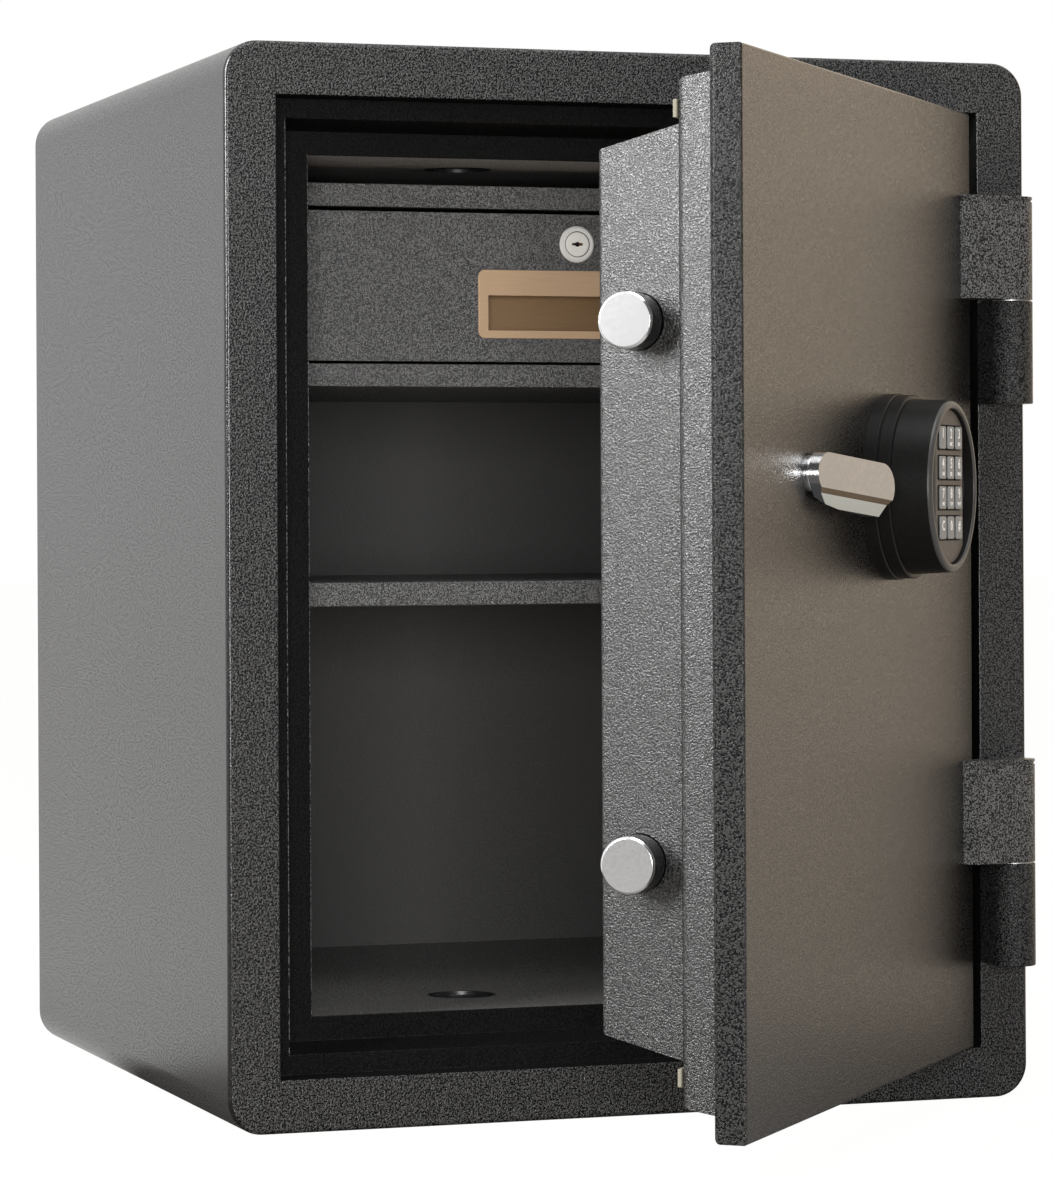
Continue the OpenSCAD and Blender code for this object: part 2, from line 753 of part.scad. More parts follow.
module cabinet_bottom() {
    top = cab_low + rail_h;
    fold = [
        [cab_y, cab_low], [cab_back, cab_low], [cab_back, cab_low + cab_t],
        [cab_y + cab_t, cab_low + cab_t], [cab_y + cab_t, top - cab_t], [cab_y + fold_deep, top - cab_t],
        [cab_y + fold_deep, top], [cab_y, top]
    ];
    color([0.24, 0.24, 0.25]) in_body() across(-cab_x, cab_x)
        polygon(rounded(fold, [cab_t / 2, 0, 0, 0, 0, 0, 0, cab_t / 2]));
}

module cabinet_sides() {
    color([0.2, 0.2, 0.21]) in_body() for (s = [-1, 1]) scale([s, 1, 1])
        translate([cab_x - cab_t, side_y, cab_low + cab_t])
            cube([cab_t, cab_back - cab_t - side_y, cab_h - 2 * cab_t]);
}

module cabinet_back() {
    color([0.2, 0.2, 0.21]) in_body() translate([-cab_x, cab_back - cab_t, cab_low + cab_t])
        cube([2 * cab_x, cab_t, cab_h - 2 * cab_t]);
}

// A channel on each side panel, open towards the drawer
module drawer_runners() {
    color("silver") in_body() for (s = [-1, 1]) scale([s, 1, 1]) difference() {
        translate([runner_x - runner_w, side_y, runner_z])
            cube([runner_w, cab_back - cab_t - side_y, runner_h]);
        translate([runner_x - runner_w - eps, side_y - eps, runner_z + runner_t])
            cube([runner_w - runner_t + eps, cab_back - side_y + 2 * eps, runner_h - 2 * runner_t]);
    }
}

// The two fixed knuckles stand on the frame face, below the moving ones
module hinge_body_knuckles() {
    color("dimgray") in_body() for (s = [-1, 1]) {
        top = mid_z + s * hinge_off - washer_t - washer_gap;
        difference() {
            union() {
                translate([pin_x, -pin_front, top - knuckle_h]) cylinder(h = knuckle_h, r = knuckle_r);
                translate([pin_x - knuckle_r, -pin_front, top - knuckle_h])
                    cube([2 * knuckle_r, pin_front, knuckle_h]);
            }
            translate([pin_x, -pin_front, top - knuckle_h - eps])
                cylinder(h = knuckle_h + 2 * eps, r = pin_r);
        }
    }
}

module hinge_pins() {
    color("silver") in_body() for (s = [-1, 1])
        translate([pin_x, -pin_front, mid_z + s * hinge_off - washer_t - washer_gap - knuckle_h])
            cylinder(h = 2 * knuckle_h + washer_t + washer_gap - 2 * cap_t, r = pin_r);
}

module hinge_washers() {
    color("gold") in_body() for (s = [-1, 1])
        translate([pin_x, -pin_front, mid_z + s * hinge_off - washer_t - washer_gap]) difference() {
            cylinder(h = washer_t, r = knuckle_r - eps);
            translate([0, 0, -eps]) cylinder(h = washer_t + 2 * eps, r = pin_r);
        }
}

// The plan of a moving knuckle, drawn in by g
module knuckle_plan(g) {
    foot = [door_x - foot_w + foot_cut, -foot_h + g];
    pin = [pin_x, -pin_front];
    polygon([
        [door_x - foot_w + g, 0], [door_x - foot_w + g, -foot_h + foot_cut], foot,
        touch(foot, pin, knuckle_r - g), pin, [pin_x - knuckle_r + g, -pin_front],
        [pin_x - knuckle_r + g, 0]
    ]);
    translate(pin) circle(r = knuckle_r - g);
}

module hinge_door_knuckles() {
    color("dimgray") on_door() for (s = [-1, 1]) {
        low = mid_z + s * hinge_off;
        top = low + knuckle_h;
        difference() {
            union() {
                upright(low, top - 2 * cap_t) knuckle_plan(0);
                upright(top - 2 * cap_t, top - cap_t) knuckle_plan(cap_groove);
                upright(top - cap_t, top) knuckle_plan(0);
            }
            translate([pin_x, -pin_front, low - eps])
                cylinder(h = knuckle_h - 2 * cap_t + washer_gap + eps, r = pin_r + pin_fit);
        }
    }
}

// The right half of the front pan's section, drawn in by g on its sides
function pan_section(a) = rounded(
    [[0, 0], [a, 0], [a, pan_d], [0, pan_d]], [0, pan_front_r, pan_back_r, 0]);

// A plain box of the door between two depths, drawn in by i from the door's edge
module door_block(i, y0, y1) {
    translate([-door_x + i, y0, mid_z - door_z + i])
        cube([2 * (door_x - i), y1 - y0, 2 * (door_z - i)]);
}

module spindle_hole(r, y0, y1) {
    translate([lever_x, 0, lever_z]) bar_along_y(y0, y1, r);
}

module door_skin() {
    color([0.42, 0.39, 0.36]) on_door() difference() {
        mitred(pan_section(door_x), pan_section(door_z));
        door_block(fold_t, pan_t, pan_d - fold_t);
        door_block(step_in + step_t, pan_t, pan_d + eps);
        spindle_hole(spindle_r + spindle_fit, -eps, pan_t + eps);
    }
}

// The right half of the middle step's section for the half size a, drawn in by g
function step_section(a, g) = rounded(
    [[0, pan_d], [a - step_in - g, pan_d], [a - step_in_back - g, step_d - g], [0, step_d - g]],
    [0, 0, step_r - g, 0]);

module door_step() {
    color([0.5, 0.5, 0.5]) on_door() difference() {
        mitred(step_section(door_x, 0), step_section(door_z, 0));
        mitred(step_section(door_x, step_t), step_section(door_z, step_t));
        door_block(plug_in + neck_in, pan_d - eps, step_d + eps);
    }
}

module door_seal() {
    color([0.85, 0.82, 0.66]) on_door() difference() {
        door_block(seal_in, step_d, step_d + seal_t);
        door_block(seal_in + seal_w, step_d - eps, step_d + seal_t + eps);
    }
}

// The right half of the plug's section for the half size a, drawn in by g all round
function plug_section(a, g) = rounded([
    [0, plug_front + g], [a - plug_in - g, plug_front + g], [a - plug_in_back - g, plug_depth - g],
    [0, plug_depth - g]], [0, 0, plug_r, 0]);

module door_plug() {
    color([0.62, 0.62, 0.62]) on_door() difference() {
        union() {
            mitred(plug_section(door_x, 0), plug_section(door_z, 0));
            door_block(plug_in + neck_in, step_d - step_t, plug_front);
        }
        mitred(plug_section(door_x, plug_t), plug_section(door_z, plug_t));
        door_block(plug_in + neck_in + plug_t, step_d - step_t - eps, work_front + eps);
        for (s = [-1, 1]) translate([0, bolt_y, mid_z + s * bolt_off])
            bar_along_x(-door_x, bar_x, bolt_r + bolt_hole_gap);
    }
}

module door_insulation() {
    color("lightgray") on_door() difference() {
        union() {
            door_block(fold_t, pan_t, pan_d - fold_t);
            door_block(step_in + step_t, pan_d - fold_t, pan_d);
            mitred(step_section(door_x, step_t), step_section(door_z, step_t));
            door_block(plug_in + neck_in + plug_t, step_d - step_t, work_front);
        }
        door_plug_front();
        spindle_hole(spindle_r + bolt_hole_gap, pan_t - eps, work_front + eps);
    }
}

// The space that the plug's neck takes out of the filling
module door_plug_front() {
    difference() {
        door_block(plug_in + neck_in, step_d - step_t, plug_front);
        door_block(plug_in + neck_in + plug_t, step_d - step_t - eps, plug_front + eps);
    }
}

module lever_collar() {
    color("white") on_door() difference() {
        translate([lever_x, 0, lever_z]) bar_along_y(-collar_t, 0, collar_r);
        spindle_hole(spindle_r + spindle_fit, -collar_t - eps, eps);
    }
}

// Rings of the keypad: revolved about its axis, heights counted away from the door
module keypad_turned(outline) {
    translate([pad_x, 0, pad_z]) rotate([90, 0, 0]) rotate_extrude() polygon(outline);
}

module keypad_base() {
    r2 = base_r - ring_in;
    color([0.1, 0.1, 0.1]) on_door() keypad_turned([
        [0, 0], [base_r, 0], [base_r, base_t - ring_in], [base_r - ring_in, base_t],
        [r2 - ring_in, base_t], [r2 - ring_in, base_t + ring_in / 2], [r2, base_t + ring_in],
        [r2, ring_top - ring_in], [r2 - ring_in, ring_top], [0, ring_top]
    ]);
}

module keypad_housing() {
    shell = rounded(
        [[0, ring_top], [house_r, ring_top], [face_r, pad_h], [dish_r, pad_h], [dish_r, pad_h - dish_d],
            [0, pad_h - dish_d]],
        [0, 0, face_round, face_round / 2, 0, 0]);
    color([0.08, 0.08, 0.08]) on_door() difference() {
        keypad_turned(shell);
        for (c = [-1:1], r = [0:3]) at_key(c, r)
            bar_along_y(dish_y - eps, dish_y + stem_l, stem_r + stem_gap);
    }
}

// The middle of the key in column c from the middle and row r from the top
module at_key(c, r) {
    translate([pad_x + c * col_pitch, 0, pad_z + keys_up + (1.5 - r) * row_pitch]) children();
}

// The brown panel, whose ends follow the round recess, with one window for each row of keys
module keypad_panel() {
    color([0.4, 0.36, 0.32]) on_door() difference() {
        intersection() {
            translate([pad_x, 0, pad_z]) bar_along_y(panel_y, dish_y, dish_r - panel_gap);
            translate([pad_x - panel_w / 2, panel_y - eps, pad_z - dish_r])
                cube([panel_w, panel_t + 2 * eps, 2 * dish_r]);
        }
        for (r = [0:3]) at_key(0, r)
            translate([-col_pitch - key_s / 2 - key_gap, panel_y - eps, -key_s / 2 - key_gap])
                cube([2 * col_pitch + key_s + 2 * key_gap, panel_t + 2 * eps, key_s + 2 * key_gap]);
    }
}

// A key with its stem
module key(c, r) {
    color([0.55, 0.6, 0.63]) on_door() at_key(c, r) {
        deep(key_y, key_y + key_t) square([key_s, key_s], center = true);
        bar_along_y(key_y + key_t, dish_y + stem_l - key_travel - eps, stem_r);
    }
}

module bolt_guides() {
    half = bolt_r + guide_wall;
    x0 = plug_side + guide_in;
    color("gray") on_door() for (s = [-1, 1]) translate([0, 0, mid_z + s * bolt_off]) difference() {
        translate([x0, bolt_y - half, -half]) cube([guide_l, work_back - bolt_y + half, 2 * half]);
        translate([0, bolt_y, 0]) bar_along_x(x0 - eps, x0 + guide_l + eps, bolt_r + bolt_fit);
    }
}

module lock_case() {
    x0 = lock_bolt_x - lock_wall;
    color("silver") on_door() difference() {
        translate([x0, work_front, lock_top - lock_h]) cube([lock_w, lock_d, lock_h]);
        translate([lock_bolt_x - lock_gap, lock_bolt_y - lock_bolt_d / 2 - lock_gap,
                lock_top - lock_h + lock_wall])
            cube([lock_bolt_w + 2 * lock_gap, lock_bolt_d + 2 * lock_gap, lock_h]);
    }
}

module lock_bolt() {
    color("gold") on_door() translate([lock_bolt_x, lock_bolt_y - lock_bolt_d / 2, lock_top - lock_h / 2])
        cube([lock_bolt_w, lock_bolt_d, lock_h / 2 + eps]);
}

// The lever's outline in x and z about its axis, before it droops
module lever_outline() {
    tip = [lever_reach - tip_r, hub_r - tip_r];
    corner = [lever_reach - tip_back, -wing_low];
    hub_side = touch([-wing_start, -wing_low], [0, 0], hub_r);
    circle(r = hub_r);
    translate(tip) circle(r = tip_r);
    polygon([
        [0, hub_r], [tip[0], hub_r], touch(corner, tip, tip_r), corner, [wing_start, -wing_low],
        [-hub_side[0], hub_side[1]]
    ]);
}

module lever() {
    color([0.72, 0.69, 0.65]) on_door() translate([lever_x, 0, lever_z]) difference() {
        union() {
            rotate([0, lever_droop, 0]) difference() {
                deep(-lever_gap - lever_reach, -lever_gap) lever_outline();
                lever_face();
                lever_underside();
            }
            bar_along_y(-lever_gap - eps, -collar_t - collar_gap, neck_r);
        }
        bar_along_y(-lever_gap - spindle_grip, eps, spindle_r);
    }
}

// What is cut from the lever's front: its leaning face, the step under it and the bevel below
module lever_face() {
    z1 = -groove_low - groove_h;
    z2 = -wing_low - eps;
    translate([-hub_r, -lever_gap - lever_t, 0]) rotate([0, 0, -lever_lift])
        across(-lever_reach, 2 * lever_reach) polygon([
            [-2 * lever_reach, 2 * hub_r], [0, 2 * hub_r], [0, -groove_low], [groove_d, z1],
            [groove_d + bevel_d, z2], [-2 * lever_reach, z2]
        ]);
}

// What is cut from the lever's underside, so that fingers reach behind it
module lever_underside() {
    z0 = -wing_low - eps;
    across(-lever_reach, 2 * lever_reach) polygon([
        [eps - lever_gap, slant_h - wing_low], [-lever_gap - slant_d, z0], [eps - lever_gap, z0]
    ]);
}

module handle_spindle() {
    color("silver") on_door() translate([lever_x, 0, lever_z])
        bar_along_y(-lever_gap - spindle_grip, spindle_in, spindle_r);
}

// The crank: a hub on the spindle and an arm up to the pin that carries the bolt work
module bolt_cam() {
    color("gold") on_door() translate([lever_x, 0, lever_z]) difference() {
        rotate([0, -lever_turn / 2, 0]) {
            bar_along_y(spindle_in - crank_t, spindle_in, crank_r);
            translate([-crank_r / 2, spindle_in - crank_t, 0]) cube([crank_r, crank_t, crank_l]);
            translate([0, 0, crank_l]) bar_along_y(spindle_in - crank_t, spindle_in, crank_r / 2);
            translate([0, 0, crank_l]) bar_along_y(spindle_in, drive_y + drive_t + eps, crank_pin_r);
        }
        bar_along_y(spindle_in - crank_t - eps, spindle_in + eps, spindle_r);
    }
}

// The bar that joins the two bolts, and the slotted plate that the crank pin drives
module bolt_bar() {
    z0 = mid_z - bolt_off - bar_end;
    slot_low = lever_z + crank_l * cos(lever_turn / 2) - slot_half;
    slot_high = lever_z + crank_l + slot_half;
    color("gray") on_door() difference() {
        union() {
            translate([bar_x, drive_y, z0]) cube([bar_t, bar_w, 2 * (bolt_off + bar_end)]);
            translate([bar_x, drive_y, drive_z]) cube([drive_x - bar_x, drive_t, drive_h]);
        }
        for (s = [-1, 1]) translate([0, bolt_y, mid_z + s * bolt_off])
            bar_along_x(bar_x - eps, bar_x + bar_t + eps, tail_r);
        translate([slot_x - slot_half, drive_y - eps, slot_low])
            cube([2 * slot_half, drive_t + 2 * eps, slot_high - slot_low]);
    }
}

module live_bolts() {
    color("white") on_door() for (s = [-1, 1]) translate([0, bolt_y, mid_z + s * bolt_off]) {
        translate([bolt_tip, 0, 0]) rotate([0, 90, 0]) rotate_extrude() polygon([
            [0, 0], [bolt_r - bolt_chamfer, 0], [bolt_r, bolt_chamfer], [bolt_r, bolt_l], [0, bolt_l]
        ]);
        bar_along_x(bar_x, bar_x + bar_t + tail_out, tail_r);
    }
}

// The drawer's front: a folded pan with a hole for the pull's cup and one for the lock
module drawer_front() {
    h = front_top - front_low;
    color([0.26, 0.26, 0.27]) in_body() difference() {
        translate([0, cab_y, (front_top + front_low) / 2]) difference() {
            translate([-front_x, 0, -h / 2]) cube([2 * front_x, front_fold, h]);
            translate([-front_x + cab_t, cab_t, -h / 2 + cab_t])
                cube([2 * (front_x - cab_t), front_fold, h - 2 * cab_t]);
        }
        cup_block(0, cab_y - eps, cab_y + cab_t + eps);
        translate([0, 0, lock_z]) bar_along_y(cab_y - eps, cab_y + cab_t + eps, lock_barrel_r);
    }
}

// The outside of the pull's cup, drawn in by g, between two depths
module cup_block(g, y0, y1) {
    translate([-grip_w / 2 - cup_t + g, y0, grip_z - cup_t + g])
        cube([grip_w + 2 * (cup_t - g), y1 - y0, cup_h + 2 * (cup_t - g)]);
}

// A flush pull: the plate's mouth is lower than the cup, which gives the fingers a hold behind the plate
module drawer_pull() {
    color([0.65, 0.53, 0.42]) in_body() difference() {
        union() {
            translate([0, cab_y - pull_t, pull_z + pull_h / 2])
                soft_plate(pull_w, pull_h, pull_r, pull_t, pull_t / 2);
            cup_block(0, cab_y, cab_y + grip_deep + cup_t);
        }
        cup_block(cup_t, cab_y, cab_y + grip_deep);
        translate([-grip_w / 2, cab_y - pull_t - eps, grip_z]) cube([grip_w, pull_t + 2 * eps, grip_h]);
    }
}

// Three walls and a floor behind the drawer front, all open at the top
module drawer_tray() {
    y0 = cab_y + cab_t;
    color([0.2, 0.2, 0.21]) in_body() difference() {
        translate([-tray_x, y0, tray_z]) cube([2 * tray_x, tray_back - y0, tray_h]);
        translate([-tray_x + tray_t, y0 - eps, tray_z + tray_t])
            cube([2 * (tray_x - tray_t), tray_back - y0 - tray_t + eps, tray_h]);
    }
}

// A bar on each side of the tray that runs in the fixed channel
module drawer_slides() {
    z0 = runner_z + runner_t + slide_gap;
    color("silver") in_body() for (s = [-1, 1]) scale([s, 1, 1])
        translate([tray_x, side_y, z0])
            cube([runner_w - runner_t, tray_back - side_y, runner_h - 2 * (runner_t + slide_gap)]);
}

module drawer_lock_body() {
    ring = [
        [lock_plug_r + lock_fit, -lock_ring_t], [lock_ring_r - lock_ring_t / 2, -lock_ring_t],
        [lock_ring_r, -lock_ring_t / 2], [lock_ring_r, 0], [lock_barrel_r, 0],
        [lock_barrel_r, lock_barrel_l], [lock_plug_r + lock_fit, lock_barrel_l]
    ];
    color("white") in_body() translate([0, cab_y, lock_z]) rotate([-90, 0, 0]) rotate_extrude() polygon(ring);
}

// The plug turns with its key slot level when the drawer is free
module drawer_lock_plug() {
    color("silver") in_body() translate([0, cab_y, lock_z]) difference() {
        bar_along_y(-lock_ring_t, lock_barrel_l, lock_plug_r);
        translate([-key_slot_w / 2, -lock_ring_t - eps, -key_slot_h / 2])
            cube([key_slot_w, lock_barrel_l / 2, key_slot_h]);
    }
}

// The cam points sideways when the drawer is free, and up behind the fascia when it is locked
module drawer_lock_cam() {
    y0 = lock_barrel_l;
    color("gray") in_body() translate([0, cab_y, lock_z]) {
        bar_along_y(y0, y0 + lock_cam_t, lock_plug_r);
        translate([0, y0, -lock_cam_w / 2]) cube([lock_cam_l, lock_cam_t, lock_cam_w]);
    }
}

outer_casing();
back_panel();
front_frame();
body_insulation();
liner_left();
liner_right();
liner_floor();
liner_ceiling();
liner_back();
bolt_pockets();
liner_discs();
shelf();
shelf_supports();
cabinet_top();
cabinet_bottom();
cabinet_sides();
cabinet_back();
cabinet_cleats();
drawer_runners();
hinge_body_knuckles();
hinge_pins();
hinge_washers();
door_skin();
door_step();
door_seal();
door_plug();
door_insulation();
hinge_door_knuckles();
lever_collar();
keypad_base();
keypad_housing();
keypad_panel();
bolt_guides();
lock_case();
lever();
handle_spindle();
bolt_cam();
bolt_bar();
live_bolts();
lock_bolt();
drawer_front();
drawer_tray();
drawer_slides();
drawer_pull();
drawer_lock_body();
drawer_lock_plug();
drawer_lock_cam();
key(-1, 0);  // key_1
key(0, 0);  // key_2
key(1, 0);  // key_3
key(-1, 1);  // key_4
key(0, 1);  // key_5
key(1, 1);  // key_6
key(-1, 2);  // key_7
key(0, 2);  // key_8
key(1, 2);  // key_9
key(-1, 3);  // key_clear
key(0, 3);  // key_0
key(1, 3);  // key_hash
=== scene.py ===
"""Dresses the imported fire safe: paints, metals and plastics, finer shapes, and the studio round it.

Sizes are in millimetres. They are counted as in the part's own drawing: X to the right from the middle,
Y from the front face of the body to the back, Z up from the floor, with the door drawn shut.
"""

import logging
import math
from dataclasses import dataclass, replace
from enum import Enum
from typing import Callable, Sequence

import bmesh
import bpy
from mathutils import Matrix, Vector


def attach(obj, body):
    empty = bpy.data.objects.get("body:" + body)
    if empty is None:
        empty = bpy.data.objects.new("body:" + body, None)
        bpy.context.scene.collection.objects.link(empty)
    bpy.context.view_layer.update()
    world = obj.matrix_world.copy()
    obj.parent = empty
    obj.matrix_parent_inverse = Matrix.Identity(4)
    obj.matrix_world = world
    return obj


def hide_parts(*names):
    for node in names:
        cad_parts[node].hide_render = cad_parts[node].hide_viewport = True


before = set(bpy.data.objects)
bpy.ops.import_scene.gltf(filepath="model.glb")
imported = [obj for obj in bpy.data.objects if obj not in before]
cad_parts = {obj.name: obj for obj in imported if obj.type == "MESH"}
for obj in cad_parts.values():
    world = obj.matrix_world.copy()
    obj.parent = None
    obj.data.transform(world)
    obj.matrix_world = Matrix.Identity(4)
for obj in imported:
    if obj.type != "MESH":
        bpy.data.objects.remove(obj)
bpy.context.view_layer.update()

LOG = logging.getLogger("safe")
MM = 0.001
HALF_DEPTH = 235.45
PIN_X, PIN_Y = 218.4, -20.1
DOOR_OPEN = math.radians(50)
MID_Z = 295.0
QUARTER = math.pi / 2
# Distances in metres under which points are merged, for a copy of a CAD node and for a key cap.
COPY_WELD = 2e-6
CAP_WELD = 1e-6
# Edges that turn less than the first are flat, more than the second are eased, more than the third are sharp.
FLAT_ANGLE = math.radians(0.5)
EASED_ANGLE = math.radians(30)
SHARP_ANGLE = math.radians(35)
# A face of the body looks to the front where its normal's Y is below this.
FRONT_LIMIT = -0.97

Point = tuple[float, float]
Place = tuple[float, float, float]
Colour = tuple[float, float, float]
Corner = tuple[float, float, float]
Mesh = bmesh.types.BMesh
Piece = bpy.types.Object
Socket = bpy.types.NodeSocket
Inputs = dict[str | int, object]
FaceTest = Callable[[Vector, Vector], bool]


class Carrier(Enum):
    """Which drawing a piece's sizes are counted in."""

    BODY = "body"
    DOOR = "door"

    def matrix(self) -> Matrix:
        """The matrix from drawing millimetres to the row frame in metres."""
        body = Matrix.Translation((0, -HALF_DEPTH, 0))
        if self is Carrier.DOOR:
            pin = Matrix.Translation((PIN_X, PIN_Y, 0))
            body = body @ pin @ Matrix.Rotation(DOOR_OPEN, 4, "Z") @ pin.inverted()
        return Matrix.Scale(MM, 4) @ body


class Texture(Enum):
    """The kinds of surface on the safe."""

    WRINKLE = "wrinkle coat"
    BRUSHED = "brushed grain"
    MOULDED = "moulded skin"
    FIBRE = "pressed fibre"


class Nodes:
    """Lays out the nodes of one tree."""

    def __init__(self, tree: bpy.types.NodeTree) -> None:
        """Keeps the tree."""
        self.tree = tree

    def add(self, kind: str, inputs: Inputs | None = None, **values: object) -> bpy.types.Node:
        """Adds a node.

        Args:
            kind: The node's type name.
            inputs: What its inputs are fed with, a value or a socket, by the input's name or place.
            values: Properties of the node.

        Returns:
            The new node.
        """
        node = self.tree.nodes.new(kind)
        for name, value in values.items():
            setattr(node, name, value)
        for key, value in (inputs or {}).items():
            self.feed(node.inputs[key], value)
        return node

    def feed(self, end: Socket, value: object) -> None:
        """Links an input to a socket, or gives it a value."""
        if isinstance(value, Socket):
            self.tree.links.new(value, end)
        else:
            end.default_value = value

    def maths(self, operation: str, *terms: object) -> Socket:
        """Adds a Math node whose terms are numbers or sockets, and returns its output."""
        return self.add("ShaderNodeMath", dict(enumerate(terms)), operation=operation).outputs[0]

    def times(self, one: object, two: object) -> Socket:
        """Multiplies two numbers or sockets."""
        return self.maths("MULTIPLY", one, two)

    def ramp(self, value: Socket, low: float, high: float, a: float = 0.0, b: float = 1.0) -> Socket:
        """Carries value from the range low to high over to the range a to b, smoothly and clamped."""
        inputs = {"Value": value, "From Min": low, "From Max": high, "To Min": a, "To Max": b}
        return self.add("ShaderNodeMapRange", inputs, interpolation_type="SMOOTHSTEP").outputs["Result"]

    def noise(self, where: Socket, scale: object, detail: float, twist: float = 0.0) -> Socket:
        """Adds a noise texture at a scale, a number or a socket, and returns its value."""
        inputs = {"Vector": where, "Scale": scale, "Detail": detail, "Distortion": twist}
        return self.add("ShaderNodeTexNoise", inputs).outputs["Fac"]

    def mixed(self, base: object, over: Colour, mask: Socket, most: float) -> Socket:
        """Mixes a colour over another.

        Args:
            base: The colour below, or its socket.
            over: The colour above.
            mask: Where the colour above shows.
            most: How strongly it shows there.

        Returns:
            The mixed colour's socket.
        """
        node = self.add("ShaderNodeMix", {"Factor": self.times(mask, most)}, data_type="RGBA")
        ends = [socket for socket in node.inputs if socket.type == "RGBA"]
        self.feed(ends[0], base if isinstance(base, Socket) else (*base, 1.0))
        self.feed(ends[1], (*over, 1.0))
        return next(socket for socket in node.outputs if socket.type == "RGBA")

    def towards(self, way: Socket, side: Place, reach: Point) -> Socket:
        """A mask of the directions way, 1 towards a side and 0 away from it, eased between two cosines."""
        cosine = self.add("ShaderNodeVectorMath", {0: way, 1: side}, operation="DOT_PRODUCT")
        return self.ramp(cosine.outputs["Value"], *reach)


def new_tree(name: str, kind: str, inputs: dict[str, str], outputs: dict[str, str]) -> Nodes:
    """Starts a node group.

    Args:
        name: The group's name.
        kind: The type of its tree.
        inputs: The kind of each named input.
        outputs: The kind of each named output.

    Returns:
        The layout of its nodes.
    """
    tree = bpy.data.node_groups.new(name, kind)
    for way, sockets in (("INPUT", inputs), ("OUTPUT", outputs)):
        for label, socket in sockets.items():
            tree.interface.new_socket(label, in_out=way, socket_type=f"NodeSocket{socket}")
    return Nodes(tree)


def emptied(owner: bpy.types.Material | bpy.types.World) -> Nodes:
    """Clears the nodes of a new material or world, and returns their layout."""
    owner.use_nodes = True
    owner.node_tree.nodes.clear()
    return Nodes(owner.node_tree)


def texture_group(texture: Texture) -> bpy.types.NodeTree:
    """Builds, once, the shader group of a texture.

    Args:
        texture: Which surface it is.

    Returns:
        A group with the inputs Vector and Grain (grains per metre) and the outputs Height, Fleck and Cloud.
    """
    name = f"Surface {texture.value}"
    if name in bpy.data.node_groups:
        return bpy.data.node_groups[name]
    lay = new_tree(name, "ShaderNodeTree", {"Vector": "Vector", "Grain": "Float"},
                   {"Height": "Float", "Fleck": "Float", "Cloud": "Float"})
    entry = lay.add("NodeGroupInput").outputs
    where, grain = entry["Vector"], entry["Grain"]

    def spots(share: float, detail: float, low: float, high: float = 0.7) -> Socket:
        """Spots of noise at a share of the grain's scale, faded in between two of its values."""
        return lay.ramp(lay.noise(where, lay.times(grain, share), detail), low, high)

    if texture is Texture.WRINKLE:
        peel = lay.ramp(lay.noise(where, grain, detail=1.0, twist=0.4), low=0.32, high=0.68)
        fine = spots(share=1.9, detail=0.0, low=0.3)
        height = lay.maths("ADD", lay.times(peel, 0.75), lay.times(fine, 0.25))
        fleck = lay.ramp(height, low=0.35, high=0.7)
    elif texture is Texture.BRUSHED:
        height = lay.noise(where, grain, detail=4.0)
        fleck = spots(share=0.4, detail=2.0, low=0.35)
    elif texture is Texture.MOULDED:
        height = lay.noise(where, grain, detail=2.0)
        fleck = spots(share=0.3, detail=3.0, low=0.4)
    else:
        strands = lay.add("ShaderNodeTexVoronoi", {"Vector": where, "Scale": grain}, feature="SMOOTH_F1")
        height = lay.maths("ADD", strands.outputs["Distance"], lay.noise(where, grain, detail=4.0))
        fleck = spots(share=1.7, detail=4.0, low=0.45)
    cloud = lay.ramp(lay.noise(where, scale=5.0, detail=3.0), low=0.35, high=0.65)
    lay.add("NodeGroupOutput", {"Height": height, "Fleck": fleck, "Cloud": cloud})
    return lay.tree


